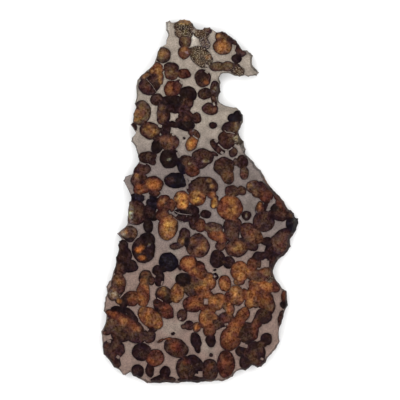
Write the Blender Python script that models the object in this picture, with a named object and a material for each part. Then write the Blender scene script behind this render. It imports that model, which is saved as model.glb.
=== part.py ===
"""Thin polished slice of a pallasite meteorite: nickel-iron with rounded olivine crystals.

The slice lies on its flat back, Z = 0. The polished face looks up. Lengths below are millimetres.
"""
import math

import bmesh
import bpy
from mathutils import Matrix, Vector

MM = 0.001
THICKNESS = 3.0        # a sawn slice, polished on one face
WAIST_HEIGHT = 1.2     # where the broken edge stands out furthest
BACK_INSET = 0.25      # the back edge lies this far inside the widest outline
GAP = 0.3              # dark seam round each crystal, between it and the metal
SEAM_INSIDE = 0.05     # the part of the seam that lies inside the crystal's outline
POCKET_FLOOR = 0.8     # metal left behind the dark crystals, which end inside the slice
REACH_BACK = (         # the light ones, which go right through the slice
    "crown_honey_crystal", "brow_olive_crystal", "neck_oval_crystal", "neck_rust_crystal", "mottled_amber_crystal",
    "amber_seed_crystals", "left_brown_crystals", "drop_crystal", "left_orange_crystals", "centre_brown_crystals",
    "centre_orange_crystals", "left_tip_crystal", "right_honey_crystals", "small_amber_crystal",
    "centre_amber_crystals", "left_column_crystals", "round_amber_crystal", "brick_and_amber_crystals",
    "lower_rust_crystal", "left_large_dark_crystal", "lower_red_crystal",
)
OVERSHOOT = 0.5        # the cutters go this far past both faces
CRUMB = 4.0            # loose bits of metal under this size across are left out

# Outline of the slice, clockwise from the top: x, y, and how far the polished face lies inside it.
OUTLINE = (
    (-5.2, 60.75, 1.3), (-3.4, 60.3, 1.2), (-2.4, 59.4, 0.9), (-1.7, 58.2, 0.4), (-0.6, 57.4, 0.2),
    (0.9, 57.3, 0.2), (1.4, 58.0, 0.4), (3.4, 58.1, 0.4), (4.3, 57.3, 0.3), (5.6, 56.4, 0.2),
    (7.4, 56.8, 0.4), (8.5, 56.4, 0.4), (10.0, 55.2, 0.4), (12.0, 53.8, 0.5), (13.1, 52.2, 0.5),
    (14.3, 50.4, 0.3), (15.8, 50.4, 0.6), (17.0, 49.5, 0.8), (17.75, 48.6, 0.8), (17.4, 47.3, 0.8),
    (17.5, 45.6, 0.8), (18.7, 44.2, 0.9), (19.85, 43.0, 0.9), (19.0, 41.9, 0.6), (17.2, 41.85, 0.4),
    (16.2, 41.5, 0.3), (15.1, 42.05, 0.3), (13.3, 41.55, 0.3), (11.4, 42.0, 0.3), (9.6, 42.8, 0.3),
    (7.2, 42.5, 0.4), (6.4, 41.2, 0.4), (6.95, 39.5, 0.9), (6.8, 37.8, 1.2), (7.05, 36.5, 1.2),
    (6.2, 34.8, 0.9), (6.4, 33.3, 0.7), (7.4, 32.5, 0.4), (9.4, 31.7, 0.3), (12.2, 31.3, 0.3),
    (13.4, 30.3, 0.5), (14.4, 28.8, 0.7), (14.45, 26.4, 0.7), (13.6, 24.6, 0.6), (12.9, 23.0, 0.4),
    (13.5, 21.4, 1.0), (14.7, 20.0, 1.5), (14.8, 18.6, 1.5), (15.4, 17.3, 1.4), (15.0, 16.1, 0.8),
    (16.4, 14.6, 0.9), (17.9, 13.2, 1.0), (18.6, 11.9, 1.0), (20.3, 10.4, 1.0), (21.5, 8.3, 1.1),
    (22.2, 6.8, 1.2), (23.6, 4.8, 1.0), (25.2, 3.1, 1.0), (26.6, 1.8, 1.0), (28.2, -0.2, 1.1),
    (29.3, -2.4, 0.9), (30.4, -2.95, 0.8), (31.4, -3.9, 0.9), (31.85, -5.4, 0.9), (32.9, -5.7, 1.2),
    (32.9, -7.5, 1.4), (32.2, -9.6, 1.4), (31.0, -11.6, 1.2), (30.1, -12.9, 1.0), (30.4, -15.1, 1.1),
    (29.3, -16.8, 1.1), (28.1, -18.2, 1.0), (26.3, -19.4, 1.0), (25.1, -21.3, 0.8), (24.4, -23.2, 0.6),
    (25.1, -25.7, 0.6), (26.5, -27.5, 0.8), (27.5, -29.1, 0.6), (29.0, -30.0, 0.7), (29.4, -34.8, 0.7),
    (28.4, -36.5, 0.6), (28.0, -38.6, 0.6), (27.3, -40.8, 0.5), (26.4, -43.2, 0.4), (26.4, -45.4, 0.5),
    (26.7, -46.8, 0.6), (25.6, -49.0, 0.7), (24.0, -50.9, 0.7), (22.7, -52.1, 0.7), (22.0, -53.9, 0.7),
    (20.5, -55.3, 0.8), (19.3, -55.6, 0.8), (17.6, -54.7, 0.6), (16.4, -55.7, 0.7), (15.3, -56.55, 0.8),
    (13.6, -56.3, 0.8), (12.0, -57.0, 0.7), (11.1, -58.3, 0.7), (9.4, -59.2, 0.9), (7.5, -59.85, 1.0),
    (5.6, -59.6, 0.9), (3.7, -60.0, 0.9), (1.0, -60.0, 0.9), (-0.9, -60.5, 1.0), (-3.0, -60.0, 0.9),
    (-5.2, -60.1, 0.9), (-7.0, -60.6, 1.0), (-9.2, -60.4, 1.0), (-11.2, -60.1, 0.9), (-13.2, -60.55, 1.0),
    (-16.8, -60.4, 0.9), (-17.6, -60.75, 1.0), (-19.4, -59.6, 0.8), (-22.3, -58.3, 0.7), (-23.1, -57.0, 0.5),
    (-24.9, -58.15, 0.6), (-25.6, -58.0, 0.6), (-26.8, -56.3, 0.6), (-28.6, -55.5, 0.6), (-30.8, -52.4, 0.6),
    (-32.1, -51.2, 0.6), (-32.5, -48.6, 0.5), (-32.6, -45.6, 0.5), (-32.9, -43.4, 0.6), (-31.7, -41.3, 0.5),
    (-31.2, -39.0, 0.5), (-31.3, -37.6, 0.4), (-32.1, -36.7, 0.5), (-31.85, -34.0, 0.6), (-31.5, -32.0, 0.5),
    (-30.8, -30.6, 0.4), (-31.25, -28.5, 0.6), (-30.2, -26.6, 0.5), (-29.6, -26.2, 0.5), (-28.9, -23.6, 0.4),
    (-28.0, -20.8, 0.4), (-28.0, -18.8, 0.4), (-27.0, -16.2, 0.3), (-27.3, -14.6, 0.4), (-26.9, -13.3, 0.3),
    (-26.0, -12.7, 0.2), (-27.6, -10.8, 0.4), (-25.8, -9.3, 0.3), (-24.2, -7.8, 0.2), (-24.1, -5.4, 0.2),
    (-23.9, -2.6, 0.2), (-23.6, -0.3, 0.2), (-23.0, 0.3, 0.2), (-23.1, 2.1, 0.2), (-24.9, 5.8, 0.3),
    (-25.5, 6.8, 0.4), (-24.9, 8.2, 0.4), (-23.6, 8.75, 0.3), (-22.5, 9.1, 0.2), (-22.0, 10.8, 0.3),
    (-20.2, 13.2, 0.2), (-20.6, 14.8, 0.3), (-21.1, 17.0, 0.5), (-21.6, 18.5, 0.5), (-22.9, 20.0, 0.6),
    (-22.6, 21.3, 0.4), (-21.3, 22.8, 0.2), (-23.1, 25.6, 0.4), (-22.3, 26.4, 0.3), (-22.2, 29.2, 0.3),
    (-21.3, 31.1, 0.3), (-21.75, 32.6, 0.4), (-21.1, 34.4, 0.6), (-21.2, 38.4, 0.8), (-20.8, 40.5, 0.7),
    (-19.4, 42.2, 0.5), (-17.6, 43.7, 0.5), (-15.6, 45.5, 0.5), (-14.6, 47.6, 0.4), (-14.0, 50.0, 0.3),
    (-13.2, 51.5, 0.2), (-11.2, 52.5, 0.2), (-11.1, 53.8, 0.3), (-10.5, 55.8, 0.5), (-11.3, 57.2, 0.9),
    (-11.4, 59.9, 0.9), (-10.0, 60.3, 0.7), (-9.4, 59.7, 0.5), (-7.9, 59.8, 0.7), (-6.6, 60.6, 1.1),
)

# Crystals, top to bottom, as ellipses on the polished face: x, y, half length, half width, tilt in degrees.
# Those of one row grow together in one body.
CRYSTALS = {
    "crown_crystals": ("ash", (
        (-5.3, 58.5, 3.3, 2.2, 0), (-5.2, 56.3, 3, 2.5, 0), (-4.9, 53.6, 2.9, 2.05, 90),
        (-5.2, 49.6, 2.25, 1.9, 90), (-3, 49.9, 1.6, 1.3, 0), (0.5, 48.1, 4.3, 3, -41),
        (0.6, 55.7, 2.5, 1.8, -15), (1.6, 53.2, 2.7, 1.5, -60), (2.5, 57, 1.5, 1.2, 0),
        (-1.8, 56.8, 1.3, 0.95, 0),
    )),
    "crown_honey_crystal": ("honey", (
        (7.65, 51.5, 3.15, 2.65, -5), (6.9, 54.8, 1.9, 1.65, 90), (10, 54.5, 3.3, 1.5, -36),
    )),
    "crown_edge_crystals": ("umber", (
        (13, 51, 1.9, 1.25, -55), (13.9, 49.3, 1.6, 1.1, 0), (12.35, 47.6, 1.65, 1.5, 0),
    )),
    "brow_olive_crystal": ("olive", (
        (-12.1, 48.8, 2.9, 2.7, 0),
    )),
    "brow_bar_crystals": ("brown", (
        (6, 44.9, 2.7, 1.5, 5), (9.3, 45, 2.6, 1.55, 0), (12.6, 43.5, 2.5, 1.7, -20),
    )),
    "neck_dark_pair": ("umber", (
        (-9.6, 44.4, 2.6, 1.9, 0), (-9.5, 42.6, 2.3, 2.2, 0), (-5.4, 42.5, 2.4, 1.65, -5),
    )),
    "neck_oval_crystal": ("brown", (
        (1.1, 41, 3, 2.65, 90),
    )),
    "left_shoulder_crystals": ("plum", (
        (-14.5, 44.1, 2.3, 2.2, 0), (-13.2, 41, 2.2, 1, 90), (-18.2, 41.8, 2, 1.4, 30),
        (-16, 41, 3.1, 2, 20), (-17.2, 38.2, 3.3, 2.7, -15),
    )),
    "neck_rust_crystal": ("rust", (
        (-9.2, 37.5, 2.9, 2.6, 0), (-7.2, 39, 1.4, 1.5, 0),
    )),
    "neck_side_crystals": ("umber", (
        (5.3, 37.2, 2.9, 1.8, 90), (4.8, 33.5, 1.85, 0.95, -75), (3.5, 30.8, 2.65, 2, -8),
        (1.8, 35.8, 2.4, 1.9, 0),
    )),
    "dark_chain_crystals": ("black", (
        (-3.9, 35.9, 3, 2.5, 0), (-4, 33.2, 2.6, 2, 90), (-14.3, 33.9, 2.2, 2, -15),
        (-10.8, 33.2, 2.6, 2, 0), (-7.6, 33, 2.6, 2.1, 0), (-8.8, 31.2, 3.2, 1.8, 0),
        (-12.7, 28.5, 3.6, 1.6, 90), (-11.5, 24.6, 2.8, 2, 90), (-8.6, 25.6, 1.8, 0.9, -20),
        (-4.6, 28.2, 2.5, 2.3, 0), (-4.7, 25.4, 3.1, 2, -8), (-1.1, 27.8, 1.75, 1.6, 90),
    )),
    "mottled_amber_crystal": ("amber", (
        (-19.7, 29.5, 4.1, 3.3, 80),
    )),
    "small_black_crystal": ("black", (
        (4.3, 25.3, 1.45, 1.15, 0),
    )),
    "right_shoulder_crystals": ("umber", (
        (11.6, 27.6, 2.3, 1.7, 0), (12.9, 28.4, 1.9, 1.9, 0), (9.8, 24.7, 2.6, 1.8, 15),
        (12.3, 25, 2.2, 1.9, -60), (9, 20.3, 3.4, 2.75, 100), (12.6, 20.9, 2.2, 1.8, -50),
        (5.9, 18.2, 3.1, 1.5, -48), (11, 16.4, 1.6, 1.45, 90),
    )),
    "amber_seed_crystals": ("honey", (
        (-1.9, 22.5, 2.15, 1.35, -35), (-2.6, 19.4, 2.9, 1.9, 62),
    )),
    "honey_and_dark_crystals": ("brown", (
        (-16.6, 23.5, 3.4, 2.8, -20), (-10.2, 19.8, 3.4, 2.9, -10), (-13.9, 20.9, 1.6, 1.2, 0),
        (-14.3, 18.2, 2.4, 1.9, 75), (-10, 14.4, 3.4, 3.2, 90),
    )),
    "left_brown_crystals": ("brown", (
        (-17.4, 14.6, 3.1, 1.9, 5), (-15.9, 13.3, 1.5, 1.2, -30),
    )),
    "grey_mass_crystals": ("ash", (
        (1, 14.8, 3.6, 2.7, -12), (-1, 12.9, 4.2, 2.3, 10), (-4.6, 13.4, 2.3, 2, 0),
        (-2.5, 10.4, 2.6, 2.2, -15),
    )),
    "right_small_crystals": ("umber", (
        (14.2, 13.2, 2.3, 2, 90), (14.9, 9.5, 2.3, 1.5, 90),
    )),
    "drop_crystal": ("brown", (
        (8.1, 11.6, 3.4, 3.1, 0), (9.2, 8.7, 3, 2.15, 112),
    )),
    "black_bean_crystal": ("black", (
        (-7.9, 6.7, 4, 2.7, 0),
    )),
    "left_orange_crystals": ("orange", (
        (-21, 7, 2.3, 1.9, 90), (-19.4, 7.7, 2.1, 1.3, 0), (-20.3, 4.1, 1.9, 1.9, 0),
        (-15.4, 5.6, 3.3, 2.7, -5), (-15, 2.7, 1.8, 1.1, 0), (-19.3, 10.6, 2.9, 2.05, 0),
    )),
    "right_olive_crystals": ("rust", (
        (17.9, 4.9, 2.4, 2.2, 0), (20.8, 4.4, 2.6, 1.9, -25), (21.9, 2.1, 2.9, 2.4, -60),
        (24.4, 3.1, 1.9, 1.1, -50),
    )),
    "centre_brown_crystals": ("brown", (
        (1.4, 5, 4.7, 3.2, 0), (-0.9, 1.4, 3, 2.9, 90), (4, 2.4, 1.6, 1.5, 0), (5.3, 1.2, 0.9, 0.8, 0),
        (4.9, -0.6, 1.9, 1.35, 80),
    )),
    "left_middle_crystals": ("plum", (
        (-20.8, 1.1, 2.4, 1.6, 0), (-15.9, -1.1, 3.2, 1.9, 80), (-16.9, -3.6, 2.7, 2.2, 90),
        (-21.4, -2.8, 3.4, 3.2, 90), (-21.3, -5.8, 3.3, 1.9, 0), (-17.2, -8.2, 2.5, 1.6, 90),
        (-12, -0.9, 2.9, 2.6, 90), (-12.4, -4.6, 2.3, 2, 0), (-10.6, -8.6, 4.4, 3.3, 80),
        (-9.2, -1.4, 2.2, 1.1, 90),
    )),
    "right_point_crystals": ("plum", (
        (26.4, 1, 2.2, 1.2, -50), (27.3, -1.6, 2.6, 1.6, -60), (19.9, -2.4, 2.3, 1.4, 80),
        (21.3, -6.7, 3.6, 3.5, 0), (21.8, -2.4, 1.5, 1.6, 0), (25.6, -2.9, 2.2, 2.1, 0),
        (24, -4.6, 1.8, 1.6, 0), (27, -4.3, 2.6, 2.4, 0), (30.4, -4.6, 2, 1.9, 0),
        (31.2, -7.4, 3.2, 2.4, 75),
    )),
    "centre_vein_crystals": ("black", (
        (-6, 1, 2.5, 2.4, 0), (-5.9, -0.8, 2.4, 2, 0), (-2.5, -3, 2.3, 1.7, -20),
        (-5.7, -3.5, 2.6, 1.1, 0), (-2.2, -5, 2.2, 1.5, 0), (-5.2, -5.6, 3, 1.25, 0),
        (0.2, -8, 2.2, 2, 90), (-2.2, -7.2, 2.2, 1.4, 100),
    )),
    "centre_black_crystal": ("black", (
        (1.95, -4.25, 1.85, 1.35, -3),
    )),
    "right_black_crystal": ("black", (
        (15.55, -4.75, 1.55, 1.5, 90),
    )),
    "centre_orange_crystals": ("orange", (
        (10.1, -2.3, 4.3, 4.2, 0), (10.6, 3.3, 2.3, 2.2, 0), (13.9, 3.6, 1.65, 1.6, 0),
        (4.6, -9, 3.2, 2, -5), (5.6, -11.3, 3.4, 2, -20), (7.2, -12.8, 1.9, 1.6, 0),
        (7, -14.8, 1.7, 1.6, 0), (10.8, -8.4, 3, 2.5, -20), (10, -11.2, 2.2, 2.2, 0),
    )),
    "left_tip_crystal": ("brown", (
        (-23.6, -10.6, 3, 2.3, -8), (-23.4, -12.4, 1.7, 1.15, 0),
    )),
    "centre_grey_crystals": ("ash", (
        (-5, -10.9, 2.1, 1.8, 90), (-6.2, -13.1, 2.1, 1.2, 90), (-0.7, -15, 3.9, 3.8, 0),
        (-4, -13.5, 1.3, 2.1, 0), (-8.2, -15, 1.85, 1.15, 8),
    )),
    "right_honey_crystals": ("honey", (
        (12.5, -15.5, 3.9, 3.4, 8), (17.4, -14.6, 2.4, 1.8, -30), (16.9, -10.6, 3.9, 2.9, -40),
    )),
    "left_large_dark_crystal": ("umber", (
        (-18.7, -16.2, 4.4, 3.9, 90), (-17.5, -12.8, 2.6, 2.3, 0),
    )),
    "lower_black_pair": ("black", (
        (5.9, -19.2, 3, 2.5, 90), (9.5, -20.3, 2, 2, 0),
    )),
    "right_dark_crystals": ("plum", (
        (27.2, -14.2, 4.9, 3.9, 50), (24, -16.3, 3.6, 2.3, 90), (22.2, -13.4, 2, 1.4, 0),
        (24.2, -19.5, 2.5, 1.5, 70), (19.6, -18.4, 2.2, 1.7, 0), (23.9, -22.4, 1.3, 1.2, 0),
        (17.5, -21.2, 2.5, 1.9, 90), (13.5, -23.4, 3.4, 3.1, 100), (13.1, -26.5, 1.8, 1.6, 0),
        (18.5, -24.7, 2.9, 1.9, 0), (21.9, -24.3, 2.6, 2.3, 0),
    )),
    "left_edge_crystals": ("plum", (
        (-25.7, -14.9, 1.95, 1.85, 0), (-25.4, -18.2, 3.2, 2.7, 90), (-23.4, -21.6, 2.7, 2.1, -10),
        (-26.6, -22.4, 2.4, 2.2, 0), (-27, -27.6, 3.6, 2.5, 90), (-28.8, -30.7, 2.4, 1.9, 90),
    )),
    "black_round_crystals": ("black", (
        (-10.3, -20.1, 3.1, 3, 90), (-14.3, -22.6, 2.2, 2, 30), (-13.4, -26, 2.4, 1.6, 75),
    )),
    "small_amber_crystal": ("amber", (
        (8.4, -27.4, 2.7, 2.2, 100),
    )),
    "centre_amber_crystals": ("amber", (
        (-3.6, -20.9, 3.1, 2.8, -20), (-0.2, -22, 1.8, 2.1, 0), (-5.4, -26.3, 2.8, 2.7, 0),
        (-3.6, -29.1, 2.2, 1.8, 0), (-7.6, -30.5, 3.3, 2.3, 85), (-12, -31.1, 2.8, 2.6, -45),
        (5.4, -33.5, 3.3, 2.6, 0), (0.3, -24.8, 2.9, 2.4, 90), (2.9, -26.8, 3, 2.5, 90),
        (-0.8, -26.6, 2.4, 2.3, 0), (0.8, -29.9, 3.1, 2.4, 0), (2.3, -31.2, 2.4, 1.4, 0),
    )),
    "left_column_crystals": ("orange", (
        (-18, -25.5, 2.6, 2.3, 90), (-18.9, -31, 4.3, 2.3, 90), (-22.6, -32.4, 2.7, 2.6, 0),
        (-25.3, -33.2, 2.4, 1.7, 90),
    )),
    "right_amber_crystals": ("orange", (
        (18.8, -28.2, 3.1, 2, -10), (22.6, -28.3, 2.6, 2.3, -20), (25.2, -28.2, 2.2, 1.9, 90),
        (17, -31.3, 1.7, 2.3, 0), (16.7, -33.9, 1.7, 1.9, 0), (21.3, -32.8, 3.2, 3, 0),
        (23.3, -34.6, 3, 1.7, 100), (14.9, -31.1, 1.3, 1.9, 0), (12.2, -31.4, 3.4, 2.6, 100),
        (9.3, -32.7, 2.6, 1.1, 90),
    )),
    "right_rim_crystals": ("umber", (
        (28.1, -31.6, 1.95, 0.95, 85), (28.4, -34.3, 1.6, 1.4, 0),
    )),
    "round_amber_crystal": ("amber", (
        (-2.7, -34, 3.2, 3, 0),
    )),
    "brick_and_amber_crystals": ("rust", (
        (-12.1, -36.1, 3.4, 2.3, -40), (-16, -39.2, 4.4, 3.2, -42),
    )),
    "small_umber_crystal": ("umber", (
        (-5.8, -38, 2, 1.65, 90),
    )),
    "lower_amber_crystals": ("amber", (
        (3.7, -46.4, 2.2, 1.7, 90), (2.2, -39, 3.6, 2.5, 90), (3.3, -42.8, 2.5, 2.1, 60),
        (8, -39.6, 3.6, 2.1, 22), (5.6, -41.5, 1.9, 1.3, 30), (9.9, -36.3, 2.1, 1.6, 90),
    )),
    "small_orange_pair": ("plum", (
        (-3.6, -41.6, 1.8, 1.6, 0), (-1, -42, 1.7, 1.35, 90),
    )),
    "lower_right_crystals": ("orange", (
        (21.2, -38.3, 3, 2.6, 20), (19.2, -40.3, 2, 1.6, 90), (14.2, -38.3, 3, 1.8, 60),
        (11.6, -42.2, 2.6, 2.2, 50), (10.3, -45.6, 4.3, 3.4, 70), (14.9, -43.6, 3.5, 2.4, 80),
        (18, -43.2, 3.3, 1.6, 85),
    )),
    "lower_left_crystals": ("umber", (
        (-28.9, -37.6, 3, 2.3, 0), (-26.4, -39.4, 3.4, 2.4, -25), (-22.8, -41.6, 3.6, 2.2, -30),
        (-25.3, -36.3, 2.4, 1.7, 0), (-23.2, -38.3, 2.2, 1.8, -45), (-29.8, -41.5, 3.2, 2.8, 0),
        (-26, -44.3, 3.6, 2.7, 0), (-21.4, -44.7, 3.4, 2.4, -30), (-16.9, -44.6, 2.5, 2, 90),
        (-28.9, -49.3, 3.9, 3.2, 0), (-28.5, -53.9, 2.3, 2.1, 90),
    )),
    "black_column_crystal": ("black", (
        (-1.3, -46.4, 2.7, 1.75, 105), (-0.7, -49, 1.6, 1, 95),
    )),
    "lower_rust_crystal": ("rust", (
        (-7.9, -48.9, 4.2, 3.1, -25),
    )),
    "lower_right_dark_crystals": ("umber", (
        (22.2, -45.9, 2.05, 1.95, 90), (17.8, -50.6, 4, 3.9, 0), (15.4, -53.6, 2.5, 2.2, 90),
        (19.4, -53.4, 2.5, 2.1, 0), (14, -50, 2, 1.9, 0), (20.6, -47.6, 1.7, 1.2, 0),
    )),
    "lower_left_dark_pair": ("black", (
        (-19.3, -50.2, 3.3, 2.9, 0), (-14.9, -52.2, 3.1, 2.9, 0), (-16.7, -56.3, 2.35, 1.4, 90),
    )),
    "lower_red_crystal": ("rust", (
        (8.7, -54.2, 4.6, 2.95, 90),
    )),
    "foot_crystals": ("rust", (
        (-4.6, -55.6, 3.9, 3.4, 90), (-1.5, -54.3, 3.6, 2.3, -50), (3.3, -56.2, 3.6, 2.9, 90),
        (-2.6, -59.4, 4.6, 1.2, 0),
    )),
    "foot_black_crystal": ("black", (
        (-20.7, -56.7, 2.3, 2.15, 90),
    )),
    "foot_edge_crystals": ("umber", (
        (-11.5, -57, 2, 1.75, 90), (-12.2, -59.6, 4.2, 1.4, 0),
    )),
}

TONES = {
    "ash": "#4E4038",
    "black": "#1F1719",
    "umber": "#33231F",
    "plum": "#42302F",
    "brown": "#55372A",
    "rust": "#6B3C2A",
    "olive": "#5E4A30",
    "amber": "#9C6236",
    "orange": "#A25B31",
    "honey": "#B07C3A",
}
METAL_COLOUR = "#9C9088"


def linear(hex_colour):
    """Linear red, green, blue and alpha of an sRGB hex colour."""
    parts = [int(hex_colour[i:i + 2], 16) / 255 for i in (1, 3, 5)]
    return [p / 12.92 if p <= 0.04045 else ((p + 0.055) / 1.055) ** 2.4 for p in parts] + [1.0]


def make_material(name, hex_colour, metallic, roughness):
    material = bpy.data.materials.new(name)
    material.use_nodes = True
    shader = material.node_tree.nodes["Principled BSDF"]
    shader.inputs["Base Color"].default_value = linear(hex_colour)
    shader.inputs["Metallic"].default_value = metallic
    shader.inputs["Roughness"].default_value = roughness
    return material


def make_object(name, bm, collection, material=None):
    mesh = bpy.data.meshes.new(name)
    bmesh.ops.recalc_face_normals(bm, faces=bm.faces)
    bm.to_mesh(mesh)
    bm.free()
    obj = bpy.data.objects.new(name, mesh)
    collection.objects.link(obj)
    if material:
        mesh.materials.append(material)
    return obj


def inward_ring(insets, height):
    """The outline moved inward by the insets, at one height."""
    ring = []
    count = len(OUTLINE)
    for i, (x, y, _) in enumerate(OUTLINE):
        before, after = OUTLINE[i - 1], OUTLINE[(i + 1) % count]
        along = Vector((after[0] - before[0], after[1] - before[1])).normalized()
        inward = Vector((along.y, -along.x))
        ring.append(Vector((x + inward.x * insets[i], y + inward.y * insets[i], height)) * MM)
    return ring


def make_slab(collection):
    """The whole slice as one body: back edge, widest outline and polished face."""
    rings = (
        inward_ring([BACK_INSET] * len(OUTLINE), 0.0),
        inward_ring([0.0] * len(OUTLINE), WAIST_HEIGHT),
        inward_ring([p[2] for p in OUTLINE], THICKNESS),
    )
    bm = bmesh.new()
    lofted = [[bm.verts.new(place) for place in ring] for ring in rings]
    bm.faces.new(lofted[0])
    bm.faces.new(lofted[-1])
    for lower, upper in zip(lofted, lofted[1:]):
        for i in range(len(OUTLINE)):
            bm.faces.new((lower[i - 1], lower[i], upper[i], upper[i - 1]))
    bmesh.ops.triangulate(bm, faces=[f for f in bm.faces if len(f.verts) == 4])
    return make_object("slab_blank", bm, collection)


def sides_for(half_width):
    if half_width < 2.3:
        return 6
    return 7 if half_width < 3.2 else 8


def add_crystal(bm, row, index, is_pocket, is_through):
    """One faceted crystal, or the pocket that it sits in, as a closed body of its own."""
    x, y, half_length, half_width, tilt = row
    grown = GAP - SEAM_INSIDE if is_pocket else -SEAM_INSIDE
    low = -OVERSHOOT
    if not is_through:
        low = POCKET_FLOOR if is_pocket else POCKET_FLOOR + GAP
    high = THICKNESS + OVERSHOOT
    sides = sides_for(half_width)
    even_area = math.sqrt(math.tau / sides / math.sin(math.tau / sides))
    placed = (
        Matrix.Translation((x * MM, y * MM, (low + high) / 2 * MM))
        @ Matrix.Rotation(math.radians(tilt), 4, "Z")
        @ Matrix.Diagonal(((half_length + grown) * MM, (half_width + grown) * MM, MM, 1.0))
        @ Matrix.Rotation(0.7 * index, 4, "Z")
    )
    bmesh.ops.create_cone(
        bm, cap_ends=True, segments=sides, depth=high - low,
        radius1=even_area, radius2=even_area, matrix=placed,
    )


def boolean(obj, cutter, operation):
    modifier = obj.modifiers.new(operation.lower(), "BOOLEAN")
    modifier.operation = operation
    modifier.solver = "EXACT"
    modifier.use_self = True
    modifier.object = cutter
    depsgraph = bpy.context.evaluated_depsgraph_get()
    result = bpy.data.meshes.new_from_object(obj.evaluated_get(depsgraph))
    obj.modifiers.clear()
    old = obj.data
    obj.data = result
    result.name = obj.name
    bpy.data.meshes.remove(old)


def loose_pieces(bm):
    """The separate bodies in a mesh, as lists of vertices."""
    waiting = set(bm.verts)
    pieces = []
    while waiting:
        front = [waiting.pop()]
        piece = list(front)
        while front:
            for edge in front.pop().link_edges:
                for vert in edge.verts:
                    if vert in waiting:
                        waiting.remove(vert)
                        front.append(vert)
                        piece.append(vert)
        pieces.append(piece)
    return pieces


def tidy(obj):
    """Merges doubles, leaves out crumbs and turns the faces into triangles."""
    bm = bmesh.new()
    bm.from_mesh(obj.data)
    bmesh.ops.remove_doubles(bm, verts=bm.verts, dist=0.000002)
    bmesh.ops.dissolve_limit(bm, angle_limit=0.002, verts=bm.verts, edges=bm.edges)
    pieces = sorted(loose_pieces(bm), key=len, reverse=True)
    for piece in pieces[1:]:
        wide = max(v.co.x for v in piece) - min(v.co.x for v in piece)
        if wide < CRUMB * MM:
            bmesh.ops.delete(bm, geom=piece, context="VERTS")
    bmesh.ops.triangulate(bm, faces=bm.faces)
    bm.to_mesh(obj.data)
    bm.free()


def edge_distance(row, x, y):
    """About how far a point lies outside a crystal's outline; negative inside."""
    cx, cy, half_length, half_width, tilt = row
    turn = math.radians(tilt)
    u = (x - cx) * math.cos(turn) + (y - cy) * math.sin(turn)
    v = (y - cy) * math.cos(turn) - (x - cx) * math.sin(turn)
    return (math.hypot(u / half_length, v / half_width) - 1.0) * half_width


def touches(row, other):
    """True where a crystal's outline comes within twice the gap of another's."""
    x, y, half_length, half_width, tilt = row
    turn = math.radians(tilt)
    for step in range(24):
        u = half_length * math.cos(math.tau * step / 24)
        v = half_width * math.sin(math.tau * step / 24)
        px = x + u * math.cos(turn) - v * math.sin(turn)
        py = y + u * math.sin(turn) + v * math.cos(turn)
        if edge_distance(other, px, py) < 2 * GAP:
            return True
    return False


def numbered_rows():
    """Every crystal by group, with its number, which turns its facets, and whether it goes through."""
    numbered = {}
    index = 0
    for name, (_, rows) in CRYSTALS.items():
        numbered[name] = [(row, index + i, name in REACH_BACK) for i, row in enumerate(rows)]
        index += len(rows)
    return numbered


def make_crystals(slab, numbered, parts, cutters):
    """The groups of crystals, each cut from the slab's own outline and clear of the groups before it."""
    materials = {
        tone: make_material(f"olivine_{tone}", colour, 0.0, 0.3) for tone, colour in TONES.items()
    }
    earlier = []
    for name, (tone, rows) in CRYSTALS.items():
        body = bmesh.new()
        for row, number, through in numbered[name]:
            add_crystal(body, row, number, False, through)
        shapes = make_object(f"{name}_shape", body, cutters)
        node = bpy.data.objects.new(name, slab.data.copy())
        parts.objects.link(node)
        boolean(node, shapes, "INTERSECT")
        close = [known for known in earlier if any(touches(row, known[0]) for row in rows)]
        if close:
            clearance = bmesh.new()
            for other, number, _ in close:
                add_crystal(clearance, other, number, True, True)
            room = make_object(f"{name}_room", clearance, cutters)
            boolean(node, room, "DIFFERENCE")
        node.data.materials.clear()
        node.data.materials.append(materials[tone])
        tidy(node)
        earlier += numbered[name]


def make_matrix(slab, numbered, parts, cutters):
    """The nickel-iron: the slab with a pocket for every crystal."""
    all_pockets = bmesh.new()
    for known in numbered.values():
        for row, number, through in known:
            add_crystal(all_pockets, row, number, True, through)
    pockets = make_object("pocket_cutter", all_pockets, cutters)
    matrix = bpy.data.objects.new("nickel_iron_matrix", slab.data.copy())
    parts.objects.link(matrix)
    boolean(matrix, pockets, "DIFFERENCE")
    matrix.data.materials.clear()
    matrix.data.materials.append(make_material("nickel_iron", METAL_COLOUR, 1.0, 0.45))
    tidy(matrix)


def main():
    for obj in list(bpy.data.objects):
        bpy.data.objects.remove(obj)
    parts = bpy.data.collections.new("pallasite_slice")
    cutters = bpy.data.collections.new("pallasite_cutters")
    for collection in (parts, cutters):
        bpy.context.scene.collection.children.link(collection)
    slab = make_slab(cutters)
    numbered = numbered_rows()
    make_crystals(slab, numbered, parts, cutters)
    make_matrix(slab, numbered, parts, cutters)
    for obj in cutters.objects:
        obj.hide_render = True
        obj.display_type = "WIRE"


main()
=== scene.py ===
"""Looks of a pallasite meteorite slice: olivine crystals set in polished nickel-iron, lying on its sawn back."""
import functools
import math
import random

import bmesh
import bpy
import numpy as np
from bpy.props import FloatProperty, FloatVectorProperty, PointerProperty
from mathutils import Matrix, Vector, kdtree, noise
from mathutils.geometry import delaunay_2d_cdt


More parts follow.
